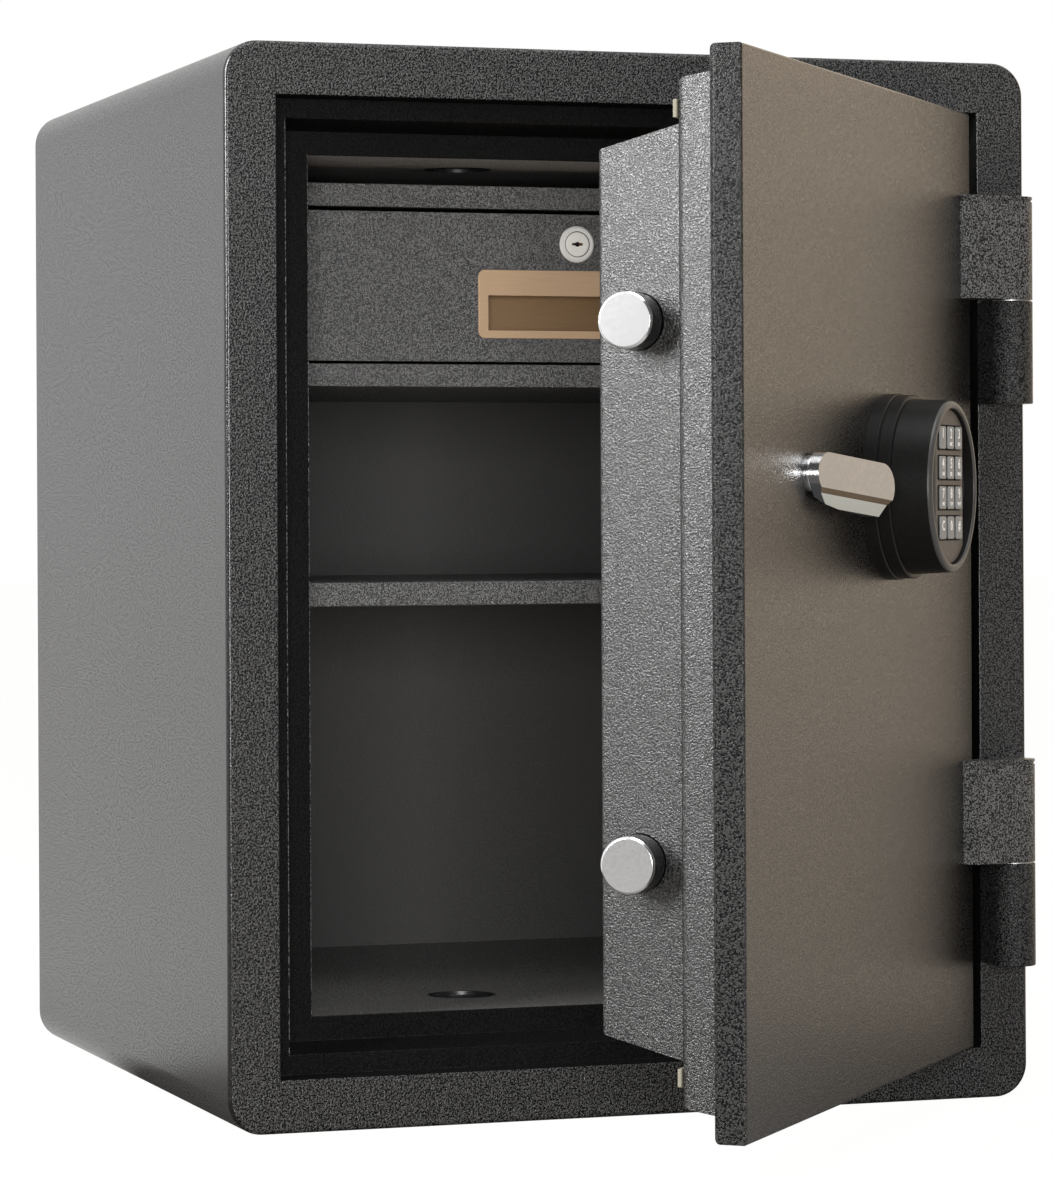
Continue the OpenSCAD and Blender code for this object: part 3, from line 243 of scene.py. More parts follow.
@dataclass(frozen=True)
class Finish:
    """One paint, metal or plastic.

    Args:
        name: The material's name.
        slot: The record's material slot; not used.
        colour: Main colour, linear.
        fleck: Colour of the flecks or streaks, linear.
        cloud: Colour of the broad, faint changes, linear.
        texture: The surface.
        grain: Size of a grain in millimetres.
        depth: Depth of the grain in millimetres.
        rough: Roughness of the surface.
        spread: How far the roughness changes with the flecks.
        metal: Metallic, from 0 to 1.
        stretch: How much longer the grain is along X, Y and Z.
        mix: How strongly the flecks and the clouds show.
        gloss: Specular level of the surface, 0.5 for a plain one.
    """

    name: str
    slot: str
    colour: Colour
    fleck: Colour
    cloud: Colour
    texture: Texture = Texture.WRINKLE
    grain: float = 1.3
    depth: float = 0.12
    rough: float = 0.42
    spread: float = 0.08
    metal: float = 0.0
    stretch: Place = (1.0, 1.0, 1.0)
    mix: Point = (0.5, 0.4)
    gloss: float = 0.5

    def material(self) -> bpy.types.Material:
        """Builds the material, once, and returns it."""
        if self.name in bpy.data.materials:
            return bpy.data.materials[self.name]
        material = bpy.data.materials.new(self.name)
        lay = emptied(material)
        place = {"Vector": lay.add("ShaderNodeTexCoord").outputs["Object"], "Scale": self.stretch}
        mapping = lay.add("ShaderNodeMapping", place, vector_type="TEXTURE")
        grains = {"Vector": mapping.outputs[0], "Grain": 1.0 / (self.grain * MM)}
        pattern = lay.add("ShaderNodeGroup", grains, node_tree=texture_group(self.texture)).outputs
        clouded = lay.mixed(self.colour, self.cloud, pattern["Cloud"], self.mix[1])
        dull, shiny = self.rough + self.spread / 2, self.rough - self.spread / 2
        relief = {"Height": pattern["Height"], "Distance": self.depth * MM, "Strength": 1.0}
        shader = lay.add("ShaderNodeBsdfPrincipled", {
            "Metallic": self.metal,
            "Specular IOR Level": self.gloss,
            "Base Color": lay.mixed(clouded, self.fleck, pattern["Fleck"], self.mix[0]),
            "Roughness": lay.ramp(pattern["Fleck"], 0.0, 1.0, dull, shiny),
            "Normal": lay.add("ShaderNodeBump", relief).outputs["Normal"],
        })
        lay.add("ShaderNodeOutputMaterial", {"Surface": shader.outputs["BSDF"]})
        return material


def coat(name: str, slot: str, tone: float, contrast: float, warmth: float = 0.0,
         **changes: object) -> Finish:
    """The safe's textured coat.

    Args:
        name: The material's name.
        slot: The record's material slot.
        tone: How light the coat is.
        contrast: How far its peaks are lighter and its pits darker than that, as a share.
        warmth: How far its red stands over its blue, as a share.
        changes: Fields of the finish that differ.

    Returns:
        The finish.
    """
    def tinted(level: float) -> Colour:
        """The coat's colour at a level of its tone."""
        return (level * tone * (1 + warmth), level * tone, level * tone * (1 - warmth))

    haze = 0.7
    clouds = tinted(haze - haze * contrast)
    values = dict(grain=0.95, depth=0.2, rough=0.28, spread=0.1, mix=(1.0, 0.3)) | changes
    return Finish(name, slot, tinted(1 - contrast), tinted(1 + contrast), clouds, **values)


CASING = coat("Casing coat", "casing_paint", 0.021, 0.08, depth=0.016, gloss=0.27)
FRAME = coat("Frame coat", "frame_paint", 0.028, 0.97, grain=1.08, depth=0.32, gloss=0.28)
# The frame's upright outer rims: a smoother coat, darkened as painted shade beside their edge highlight.
RIM_SHADE = coat("Rim coat, painted shade", "frame_paint", 0.008, 0.6, depth=0.04, rough=0.14)
# One hinge coat in two copies: the door's knuckles lighter as painted light, the body's knuckles darker as
# painted shade.
KNUCKLE_LIT = coat("Upper hinge coat, painted light", "frame_paint", 0.064, 0.95, depth=0.32, gloss=0.3)
KNUCKLE_SHADED = coat("Lower hinge coat, painted shade", "frame_paint", 0.025, 0.95, depth=0.32, gloss=0.2)
# The doorway's jamb: a smoother, near-black coat as painted shade in the recess.
JAMB_SHADE = coat("Jamb coat, painted shade", "frame_paint", 0.005, 0.6, depth=0.08, rough=0.36, gloss=0.1)
# Thin light lines on the doorway's upright edges: painted highlight.
ARRIS_HIGHLIGHT = coat("Painted edge highlight", "frame_paint", 0.11, 0.95, depth=0.3, rough=0.3)
# The door coat's slight warmth is partly its own tone and partly a painted warm reflection.
DOOR = coat("Door coat", "door_paint", 0.0135, 0.9, 0.08, depth=0.1, rough=0.24)
EDGE = coat("Door edge coat", "door_paint", 0.0155, 0.97, grain=1.08, depth=0.16, rough=0.24, gloss=0.17)
STEP = coat("Step coat", "door_paint", 0.021, 0.97, depth=0.18, rough=0.26, gloss=0.62)
PLUG = coat("Plug coat", "door_paint", 0.021, 0.97, depth=0.18, rough=0.26, gloss=0.6)
LINER = coat("Lining paint", "liner_paint", 0.075, 0.2, 0.03, depth=0.06)
# The lining's floor: a lighter copy of the lining paint, as painted light.
LINER_FLOOR_LIT = coat("Floor paint, painted light", "liner_paint", 0.11, 0.4, 0.03, depth=0.1)
# The lining's ceiling: a much lighter copy of the lining paint, as painted light where little light reaches.
LINER_TOP_LIT = coat("Ceiling paint, painted light", "liner_paint", 0.34, 0.2, 0.03, depth=0.06)
CABINET = coat("Cabinet coat", "cabinet_paint", 0.104, 0.65, grain=0.8, depth=0.18)
DISC = Finish(
    "Disc plastic", "disc_plastic", (0.012, 0.012, 0.012), (0.02, 0.02, 0.02), (0.009, 0.009, 0.009),
    texture=Texture.MOULDED, grain=0.5, depth=0.02, rough=0.3)
FILLING = Finish(
    "Cast filling", "fire_filling", (0.5, 0.48, 0.44), (0.62, 0.6, 0.55), (0.42, 0.4, 0.37),
    texture=Texture.FIBRE, grain=3.0, depth=0.4, rough=0.9)
SEAL = Finish(
    "Heat seal", "seal_strip", (0.18, 0.17, 0.13), (0.23, 0.215, 0.165), (0.15, 0.14, 0.105),
    texture=Texture.FIBRE, grain=0.8, depth=0.08, rough=0.8)
CHROME = Finish(
    "Polished chrome", "bolt_chrome", (0.86, 0.86, 0.87), (0.8, 0.8, 0.81), (0.81, 0.81, 0.82),
    texture=Texture.BRUSHED, grain=0.6, depth=0.002, rough=0.14, spread=0.05, metal=1.0, mix=(0.3, 0.3))
# The bolts' round sides: a near-black copy of the chrome as painted dark reflection.
CHROME_SIDE_REFLECTION = replace(
    CHROME, name="Chrome, painted dark reflection",
    colour=(0.04, 0.04, 0.042), fleck=(0.05, 0.05, 0.05), cloud=(0.033, 0.033, 0.035))
# The lock's face and ring: near-white and barely metal, a painted reflection of their polished chrome.
LOCK_FACE = replace(
    CHROME, name="Lock face, painted reflection", rough=0.35, metal=0.0,
    colour=(0.9, 0.89, 0.85), fleck=(0.93, 0.92, 0.89), cloud=(0.86, 0.85, 0.81))
LOCK_RING = replace(
    CHROME, name="Lock ring, painted reflection", rough=0.24, metal=0.1,
    colour=(0.88, 0.87, 0.85), fleck=(0.93, 0.92, 0.91), cloud=(0.82, 0.81, 0.79))
BRASS = Finish(
    "Brass", "bolt_chrome", (0.5, 0.3, 0.12), (0.6, 0.38, 0.16), (0.4, 0.24, 0.1),
    texture=Texture.BRUSHED, grain=0.4, depth=0.004, rough=0.35, metal=0.5)
NICKEL = Finish(
    "Satin nickel", "lever_nickel", (0.42, 0.438, 0.463), (0.445, 0.463, 0.488), (0.39, 0.405, 0.42),
    texture=Texture.MOULDED, grain=0.8, depth=0.002, rough=0.24, spread=0.05, metal=1.0, mix=(0.3, 0.4))
# The lever's lower bevel: a pale, cool copy of the nickel as painted reflection.
NICKEL_REFLECTION = replace(
    NICKEL, name="Nickel, painted reflection", colour=(0.5, 0.56, 0.59), fleck=(0.53, 0.59, 0.62), cloud=(0.47, 0.53, 0.56))
# The lever's step: a dark copy of the nickel as painted shade.
NICKEL_STEP_SHADE = replace(
    NICKEL, name="Shaded nickel", rough=0.3,
    colour=(0.12, 0.09, 0.062), fleck=(0.14, 0.105, 0.075), cloud=(0.1, 0.075, 0.05))
STEEL = Finish(
    "Zinc steel", "plain_steel", (0.45, 0.45, 0.44), (0.55, 0.55, 0.52), (0.36, 0.36, 0.36),
    texture=Texture.BRUSHED, grain=1.5, depth=0.01, rough=0.38, spread=0.12, metal=1.0)
BRONZE = Finish(
    "Champagne satin", "pull_bronze", (0.58, 0.4, 0.252), (0.64, 0.45, 0.29), (0.53, 0.365, 0.225),
    texture=Texture.BRUSHED, grain=0.4, depth=0.004, spread=0.06, metal=0.15,
    stretch=(14.0, 1.0, 1.0), mix=(0.4, 0.5))
# The pull's recess: a darker copy of the champagne as painted shade.
RECESS_SHADE = replace(
    BRONZE, name="Shaded champagne", metal=0.0,
    colour=(0.27, 0.165, 0.08), fleck=(0.31, 0.19, 0.095), cloud=(0.235, 0.14, 0.065))
KEYPAD = Finish(
    "Keypad shell", "keypad_plastic", (0.007, 0.0068, 0.0065), (0.013, 0.0125, 0.012), (0.005, 0.005, 0.005),
    texture=Texture.MOULDED, grain=0.45, depth=0.012, rough=0.36, spread=0.06, gloss=0.12)
# The keypad's front lip: a lighter copy of its plastic as painted sheen.
LIP_SHEEN = replace(
    KEYPAD, name="Keypad lip, painted sheen", gloss=0.3,
    colour=(0.046, 0.046, 0.045), fleck=(0.06, 0.06, 0.06), cloud=(0.036, 0.036, 0.036))
PANEL = Finish(
    "Keypad panel", "panel_plastic", (0.085, 0.072, 0.061), (0.108, 0.092, 0.08), (0.07, 0.06, 0.05),
    texture=Texture.MOULDED, grain=0.3, depth=0.02, rough=0.55)
KEY = Finish(
    "Key rubber", "key_rubber", (0.19, 0.205, 0.212), (0.235, 0.25, 0.258), (0.165, 0.178, 0.185),
    texture=Texture.MOULDED, grain=0.3, depth=0.012)
# Near-black painted shade: on the keys' sides, at the lock ring's inner edge and inside the keyhole.
SHADE_BLACK = replace(
    KEY, name="Painted shade black", rough=0.5, gloss=0.2,
    colour=(0.012, 0.012, 0.013), fleck=(0.02, 0.02, 0.02), cloud=(0.009, 0.009, 0.009))
FIGURE = replace(
    KEY, name="Key figures", rough=0.5, depth=0.004,
    colour=(0.9, 0.92, 0.93), fleck=(0.95, 0.96, 0.97), cloud=(0.85, 0.87, 0.88))


def rounded(corners: Sequence[Corner], steps: int) -> list[Point]:
    """Rounds the corners of an outline.

    Args:
        corners: The outline's corners in order: two coordinates and the radius, 0 for a sharp one.
        steps: Straight steps in a rounding.

    Returns:
        The rounded outline.
    """
    made: list[Point] = []
    points = [Vector(corner[:2]) for corner in corners]
    for i, (x, y, radius) in enumerate(corners):
        if radius <= 0:
            made.append((x, y))
            continue
        here = points[i]
        one = (points[i - 1] - here).normalized()
        two = (points[(i + 1) % len(points)] - here).normalized()
        half = one.angle(two) / 2
        centre = here + (one + two).normalized() * radius / math.sin(half)
        start = here + one * radius / math.tan(half) - centre
        swing = start.angle_signed(here + two * radius / math.tan(half) - centre)
        for step in range(steps + 1):
            swung = Matrix.Rotation(-swing * step / steps, 2)
            made.append(tuple(centre + swung @ start))
    return made


def turned(profile: Sequence[Point], steps: int = 96, closed: bool = False) -> Mesh:
    """Turns a profile about the Z axis.

    Args:
        profile: Points (radius, height). A radius of 0 is a pole.
        steps: Faces round the axis.
        closed: Joins the last point to the first, for a ring.

    Returns:
        The turned mesh, its faces pointing outwards.
    """
    mesh = bmesh.new()
    rings = []
    for radius, height in profile:
        if radius == 0:
            rings.append([mesh.verts.new((0, 0, height))])
            continue
        angles = [math.tau * k / steps for k in range(steps)]
        rings.append([mesh.verts.new((radius * math.cos(a), radius * math.sin(a), height)) for a in angles])
    pairs = list(zip(rings, rings[1:]))
    if closed:
        pairs.append((rings[-1], rings[0]))
    for low, high in pairs:
        for k in range(steps):
            n = (k + 1) % steps
            corners = [low[k % len(low)], low[n % len(low)], high[n % len(high)], high[k % len(high)]]
            unique = list(dict.fromkeys(corners))
            if len(unique) > 2:
                mesh.faces.new(unique)
    bmesh.ops.recalc_face_normals(mesh, faces=mesh.faces)
    return mesh


def lofted(loops: Sequence[Sequence[Place]]) -> Mesh:
    """Joins loops of points by faces and closes the first and the last.

    Args:
        loops: The loops in order, each with as many points.

    Returns:
        The closed mesh, its faces pointing outwards.
    """
    mesh = bmesh.new()
    rings = [[mesh.verts.new(p) for p in loop] for loop in loops]
    for low, high in zip(rings, rings[1:]):
        for k in range(len(low)):
            n = (k + 1) % len(low)
            mesh.faces.new((low[k], low[n], high[n], high[k]))
    mesh.faces.new(rings[0])
    mesh.faces.new(rings[-1])
    bmesh.ops.recalc_face_normals(mesh, faces=mesh.faces)
    return mesh


def laid(mesh: Mesh, centre: Place, axis: str = "X") -> Mesh:
    """Lays down a mesh that was built about Z.

    Args:
        mesh: The mesh.
        centre: Where its origin goes.
        axis: What it is turned about by a quarter: "X" points its Z to the front, -Y, and "Y" along +X.

    Returns:
        The same mesh.
    """
    turn = Matrix.Translation(centre) @ Matrix.Rotation(QUARTER, 4, axis)
    bmesh.ops.transform(mesh, matrix=turn, verts=mesh.verts)
    return mesh


def new_object(name: str, data: bpy.types.ID) -> Piece:
    """Makes an object of a mesh, text, lamp or camera and links it to the scene."""
    obj = bpy.data.objects.new(name, data)
    bpy.context.scene.collection.objects.link(obj)
    return obj


def as_object(name: str, mesh: Mesh, carrier: Carrier | None) -> Piece:
    """Makes an object at the origin from a mesh.

    Args:
        name: The piece's name.
        mesh: The mesh, in drawing millimetres, or in metres where carrier is None. It is freed.
        carrier: The drawing that the mesh is in.

    Returns:
        The object, linked to the scene.
    """
    if carrier:
        bmesh.ops.transform(mesh, matrix=carrier.matrix(), verts=mesh.verts)
    data = bpy.data.meshes.new(name)
    mesh.to_mesh(data)
    mesh.free()
    return new_object(name, data)


def baked(obj: Piece) -> Piece:
    """Applies an object's modifiers to its mesh and returns the object."""
    graph = bpy.context.evaluated_depsgraph_get()
    graph.update()
    shape = obj.evaluated_get(graph)
    data = bpy.data.meshes.new_from_object(shape, preserve_all_data_layers=True, depsgraph=graph)
    obj.modifiers.clear()
    obj.data = data
    data.name = obj.name
    return obj


def smoothed(obj: Piece) -> Piece:
    """Shades an object smooth, with its sharp edges kept and its large faces flat."""
    obj.data.shade_smooth()
    obj.data.set_sharp_from_angle(angle=SHARP_ANGLE)
    weighted = obj.modifiers.new("Weighted normals", "WEIGHTED_NORMAL")
    weighted.keep_sharp = True
    return baked(obj)


def finish_piece(obj: Piece, body: str, finish: Finish, *stands_for: str) -> Piece:
    """Dresses a piece, hands it to its body and reports it.

    Args:
        obj: The piece.
        body: The body that it rides on.
        finish: Its finish.
        stands_for: The CAD nodes that it stands for.

    Returns:
        The piece.
    """
    obj.data.materials.clear()
    obj.data.materials.append(finish.material())
    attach(obj, body)
    if stands_for:
        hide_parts(*stands_for)
    LOG.info("%s rides %s, %d faces, %s", obj.name, body, len(obj.data.polygons), finish.name)
    return obj


def paint_nodes(finish: Finish, *nodes: str) -> None:
    """Gives carried-over CAD nodes a finish and reports them.

    Args:
        finish: The finish.
        nodes: The nodes' names.
    """
    for node in nodes:
        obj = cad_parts[node]
        obj.data.materials.clear()
        obj.data.materials.append(finish.material())
        LOG.info("%s kept, %s", node, finish.name)


def repaint(obj: Piece, finish: Finish, carrier: Carrier, chosen: FaceTest) -> None:
    """Gives some faces of a piece another finish.

    Args:
        obj: The piece.
        finish: The finish of the chosen faces.
        carrier: The drawing that the test counts in.
        chosen: A test on a face's middle and normal.
    """
    obj.data.materials.append(finish.material())
    last = len(obj.data.materials) - 1
    place = carrier.matrix().inverted()
    turn = place.to_3x3().normalized()
    for face in obj.data.polygons:
        if chosen(place @ face.center, turn @ face.normal):
            face.material_index = last


def eased_copy(node: str, width: float, finish: Finish, body: str, segments: int = 2,
               reshape: Callable[[Vector], Vector] | None = None) -> Piece:
    """Stands a copy of a CAD node with eased edges in its place.

    Args:
        node: The CAD node.
        width: Width of the easing in millimetres.
        finish: The finish of the piece.
        body: The body that it rides on.
        segments: Faces across an easing.
        reshape: Moves a point of the door's drawing, where the piece leans more than its node.

    Returns:
        The piece.
    """
    mesh = bmesh.new()
    mesh.from_mesh(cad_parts[node].data)
    bmesh.ops.remove_doubles(mesh, verts=mesh.verts, dist=COPY_WELD)
    if reshape:
        place = Carrier.DOOR.matrix()
        back = place.inverted()
        for vertex in mesh.verts:
            vertex.co = place @ reshape(back @ vertex.co)
    bmesh.ops.dissolve_limit(mesh, angle_limit=FLAT_ANGLE, verts=mesh.verts, edges=mesh.edges)
    eased = [e for e in mesh.edges if e.is_manifold and e.calc_face_angle(0.0) > EASED_ANGLE]
    bmesh.ops.bevel(mesh, geom=eased, offset=width * MM, segments=segments, profile=0.5, affect="EDGES",
                    clamp_overlap=True)
    return finish_piece(smoothed(as_object(f"{node}_finished", mesh, None)), body, finish, node)


class PieceTree:
    """A Geometry Nodes tree that makes one kind of piece."""

    def __init__(self, name: str, inputs: dict[str, str]) -> None:
        """Starts the tree.

        Args:
            name: The tree's name.
            inputs: The kind of each named input.
        """
        self.lay = new_tree(name, "GeometryNodeTree", inputs, {"Geometry": "Geometry"})
        self.entry = self.lay.add("NodeGroupInput").outputs

    def end(self, shape: Socket) -> None:
        """Ends the tree with a shape that is made real and given its material."""
        real = self.lay.add("GeometryNodeRealizeInstances", {"Geometry": shape})
        inputs = {"Geometry": real.outputs[0], "Material": self.entry["Material"]}
        paint = self.lay.add("GeometryNodeSetMaterial", inputs)
        self.lay.add("NodeGroupOutput", {"Geometry": paint.outputs[0]})

    def applied(self, obj: Piece, **values: object) -> Piece:
        """Runs the tree on an object and applies the result.

        Args:
            obj: The object.
            values: A value for each input by its name.

        Returns:
            The same object.
        """
        sockets = {s.name: s.identifier for s in self.lay.tree.interface.items_tree if s.in_out == "INPUT"}
        modifier = obj.modifiers.new("Tree", "NODES")
        modifier.node_group = self.lay.tree
        for label, value in values.items():
            modifier[sockets[label]] = value
        return baked(obj)


class RowTree(PieceTree):
    """A Geometry Nodes tree that repeats a piece in a row, turning each copy further than the last."""

    def __init__(self) -> None:
        """Builds the tree."""
        super().__init__("Copies in a row", {"Geometry": "Geometry", "Count": "Int", "First": "Vector",
                                             "Step": "Vector", "Turn": "Vector", "Material": "Material"})
        lay, entry = self.lay, self.entry
        places = {"Count": entry["Count"], "Start Location": entry["First"], "Offset": entry["Step"]}
        row = lay.add("GeometryNodeMeshLine", places, mode="OFFSET")
        index = lay.add("GeometryNodeInputIndex").outputs["Index"]
        turn = lay.add("ShaderNodeVectorMath", {0: entry["Turn"], "Scale": index}, operation="SCALE")
        angle = lay.add("FunctionNodeEulerToRotation", {0: turn.outputs[0]})
        copies = lay.add("GeometryNodeInstanceOnPoints", {
            "Points": row.outputs["Mesh"], "Instance": entry["Geometry"], "Rotation": angle.outputs[0]})
        self.end(copies.outputs["Instances"])

    def pair(self, obj: Piece, first: Vector, step: Vector, turn: Place, finish: Finish) -> None:
        """Makes two of an object's mesh and applies the result.

        Args:
            obj: The object, its mesh about the origin in metres.
            first: Place of the first.
            step: From the first to the second.
            turn: Turn of the second, in radians about X, Y and Z.
            finish: The finish of both.
        """
        paint = finish.material()
        self.applied(obj, Count=2, First=first, Step=step, Turn=Vector(turn), Material=paint)


class KeyCapTree(PieceTree):
    """A Geometry Nodes tree that makes a square key cap with round corners and an eased top."""

    CORNER_STEPS = 5
    # Each step of the eased top: its share of the easing's height and of its width.
    EASING = ((0.62, 0.32), (0.38, 0.68))

    def __init__(self) -> None:
        """Builds the tree."""
        super().__init__("Key cap", {"Side": "Float", "Corner": "Float", "Height": "Float", "Ease": "Float",
                                     "Centre": "Vector", "Turn": "Rotation", "Material": "Material"})
        lay, entry = self.lay, self.entry
        side, ease = entry["Side"], entry["Ease"]
        square = lay.add("GeometryNodeCurvePrimitiveQuadrilateral", {"Width": side, "Height": side})
        corners = {"Curve": square.outputs["Curve"], "Radius": entry["Corner"], "Count": self.CORNER_STEPS}
        fillet = lay.add("GeometryNodeFilletCurve", corners, mode="POLY")
        foot = lay.add("GeometryNodeFillCurve", {"Curve": fillet.outputs["Curve"]}).outputs["Mesh"]
        top, chosen = self.raised(foot, True, lay.maths("SUBTRACT", entry["Height"], ease))
        for rise, inset in self.EASING:
            top, chosen = self.raised(top, chosen, lay.times(ease, rise))
            narrowed = lay.maths("DIVIDE", lay.times(ease, 2 * inset), side)
            inputs = {"Geometry": top, "Selection": chosen, "Scale": lay.maths("SUBTRACT", 1.0, narrowed)}
            top = lay.add("GeometryNodeScaleElements", inputs).outputs["Geometry"]
        under = lay.add("GeometryNodeFlipFaces", {"Mesh": foot})
        both = lay.add("GeometryNodeJoinGeometry")
        for skin in (top, under.outputs["Mesh"]):
            lay.feed(both.inputs["Geometry"], skin)
        weld = lay.add("GeometryNodeMergeByDistance", {"Geometry": both.outputs[0], "Distance": CAP_WELD})
        place = lay.add("GeometryNodeTransform", {
            "Geometry": weld.outputs[0], "Translation": entry["Centre"], "Rotation": entry["Turn"]})
        self.end(place.outputs[0])

    def raised(self, mesh: Socket, chosen: Socket | bool, rise: Socket) -> tuple[Socket, Socket]:
        """Raises the chosen faces of a mesh together, and returns the mesh and the choice of its new top."""
        inputs = {"Mesh": mesh, "Selection": chosen, "Offset Scale": rise, "Individual": False}
        push = self.lay.add("GeometryNodeExtrudeMesh", inputs)
        return push.outputs["Mesh"], push.outputs["Top"]

    def make(self, name: str, sizes: dict[str, float], place: Matrix, finish: Finish) -> Piece:
        """Makes one key cap.

        Args:
            name: The piece's name.
            sizes: Its Side, Corner (a radius), Height and Ease (the eased edge's width), in millimetres.
            place: Where the cap's underside is, and how it is turned.
            finish: The cap's finish.

        Returns:
            The cap.
        """
        metres = {label: size * MM for label, size in sizes.items()}
        obj = new_object(name, bpy.data.meshes.new(name))
        return self.applied(obj, **metres, Centre=place.to_translation(), Turn=place.to_euler(),
                            Material=finish.material())


@dataclass
class SafeBody:
    """Casing, frame, lining and the fixed half of the hinges."""

    rows: RowTree
    disc_x: float = -66.5
    disc_y: float = 117.0
    disc_radius: float = 20.0
    disc_deep: float = 2.6
    disc_thick: float = 1.2
    disc_gap: float = 0.02
    boss_high: float = 1.3
    boss_radius: float = 7.6
    boss_foot: float = 9.4
    rim_width: float = 1.2
    rim_foot: float = 1.6
    floor: float = 58.05
    ceiling: float = 531.95
    doorway: Point = (207.2, 266.4)
    jamb_shade_start: float = 0.8
    highlight_limit: float = -0.3
    body: str = "safe_body"

    def build(self) -> None:
        """Builds and dresses every piece of the body."""
        self.frame()
        eased_copy("back_panel", 0.4, CASING, self.body)
        # The body's knuckles take the hinge coat darkened as painted shade.
        eased_copy("hinge_body_knuckles", 0.6, KNUCKLE_SHADED, self.body)
        self.discs()
        paint_nodes(CASING, "outer_casing")
        paint_nodes(LINER, "liner_left", "liner_right", "liner_back")
        # The floor's lining is painted lighter as light.
        paint_nodes(LINER_FLOOR_LIT, "liner_floor")
        # The ceiling's lining is painted far lighter as light.
        paint_nodes(LINER_TOP_LIT, "liner_ceiling")
        paint_nodes(FILLING, "body_insulation")
        paint_nodes(STEEL, "bolt_pockets", "hinge_pins", "hinge_washers")

    def frame(self) -> None:
        """Dresses the frame: textured in front, smoother and darkened as painted shade on its upright rims,
        near-black as painted shade in the doorway, with painted highlights on the doorway's upright edges.
        """
        obj = eased_copy("front_frame", 0.7, FRAME, self.body)

        def within(middle: Vector) -> bool:
            """Tells whether a face is inside the doorway."""
            return abs(middle.x) < self.doorway[0] and abs(middle.z - MID_Z) < self.doorway[1]

        def upright(normal: Vector) -> bool:
            """Tells whether a face belongs to an upright edge or side."""
            return normal.y > FRONT_LIMIT and abs(normal.x) > abs(normal.z)

        # Faces behind the front face in the doorway take the near-black coat, painted shade in the recess.
        repaint(obj, JAMB_SHADE, Carrier.BODY, lambda middle, _: middle.y > self.jamb_shade_start and within(middle))
        # The doorway's upright edges, facing partly forward, take a light coat as painted highlight.
        repaint(obj, ARRIS_HIGHLIGHT, Carrier.BODY, lambda middle, normal: (
            within(middle) and upright(normal) and normal.y < self.highlight_limit))
        # The upright outer rims take the smoother coat, darkened as painted shade beside their highlight.
        repaint(obj, RIM_SHADE, Carrier.BODY, lambda middle, normal: upright(normal) and not within(middle))

    def discs(self) -> None:
        """Builds the two recessed discs, the upper one the other way up."""
        deep, radius, edge = self.disc_deep, self.disc_radius, self.disc_radius - self.disc_gap
        under, boss = -deep - self.disc_thick, -deep + self.boss_high
        profile = rounded(
            [(0, boss, 0), (self.boss_radius, boss, 0.9), (self.boss_foot, -deep, 0.5),
             (radius - self.rim_foot, -deep, 0.6), (radius - self.rim_width, 0.0, 0.3), (edge, 0.0, 0.3),
             (edge, under, 0.2), (0, under, 0)], steps=4)
        disc = turned(profile, steps=72)
        bmesh.ops.scale(disc, vec=(MM, MM, MM), verts=disc.verts)
        obj = as_object("liner_discs_finished", disc, None)
        place = Carrier.BODY.matrix()
        low = place @ Vector((self.disc_x, self.disc_y, self.floor))
        high = place @ Vector((self.disc_x, self.disc_y, self.ceiling))
        self.rows.pair(obj, low, high - low, (math.pi, 0, 0), DISC)
        finish_piece(smoothed(obj), self.body, DISC, "liner_discs")


@dataclass
class Interior:
    """Shelf, its angles, and the cabinet that holds the drawer."""

    body: str = "safe_body"

    def build(self) -> None:
        """Dresses every piece."""
        for node, width in (("shelf", 0.35), ("cabinet_top", 0.3), ("cabinet_bottom", 0.3)):
            eased_copy(node, width, CABINET, self.body)
        paint_nodes(LINER, "shelf_supports", "cabinet_cleats")
        paint_nodes(CABINET, "cabinet_sides", "cabinet_back")
        paint_nodes(STEEL, "drawer_runners")


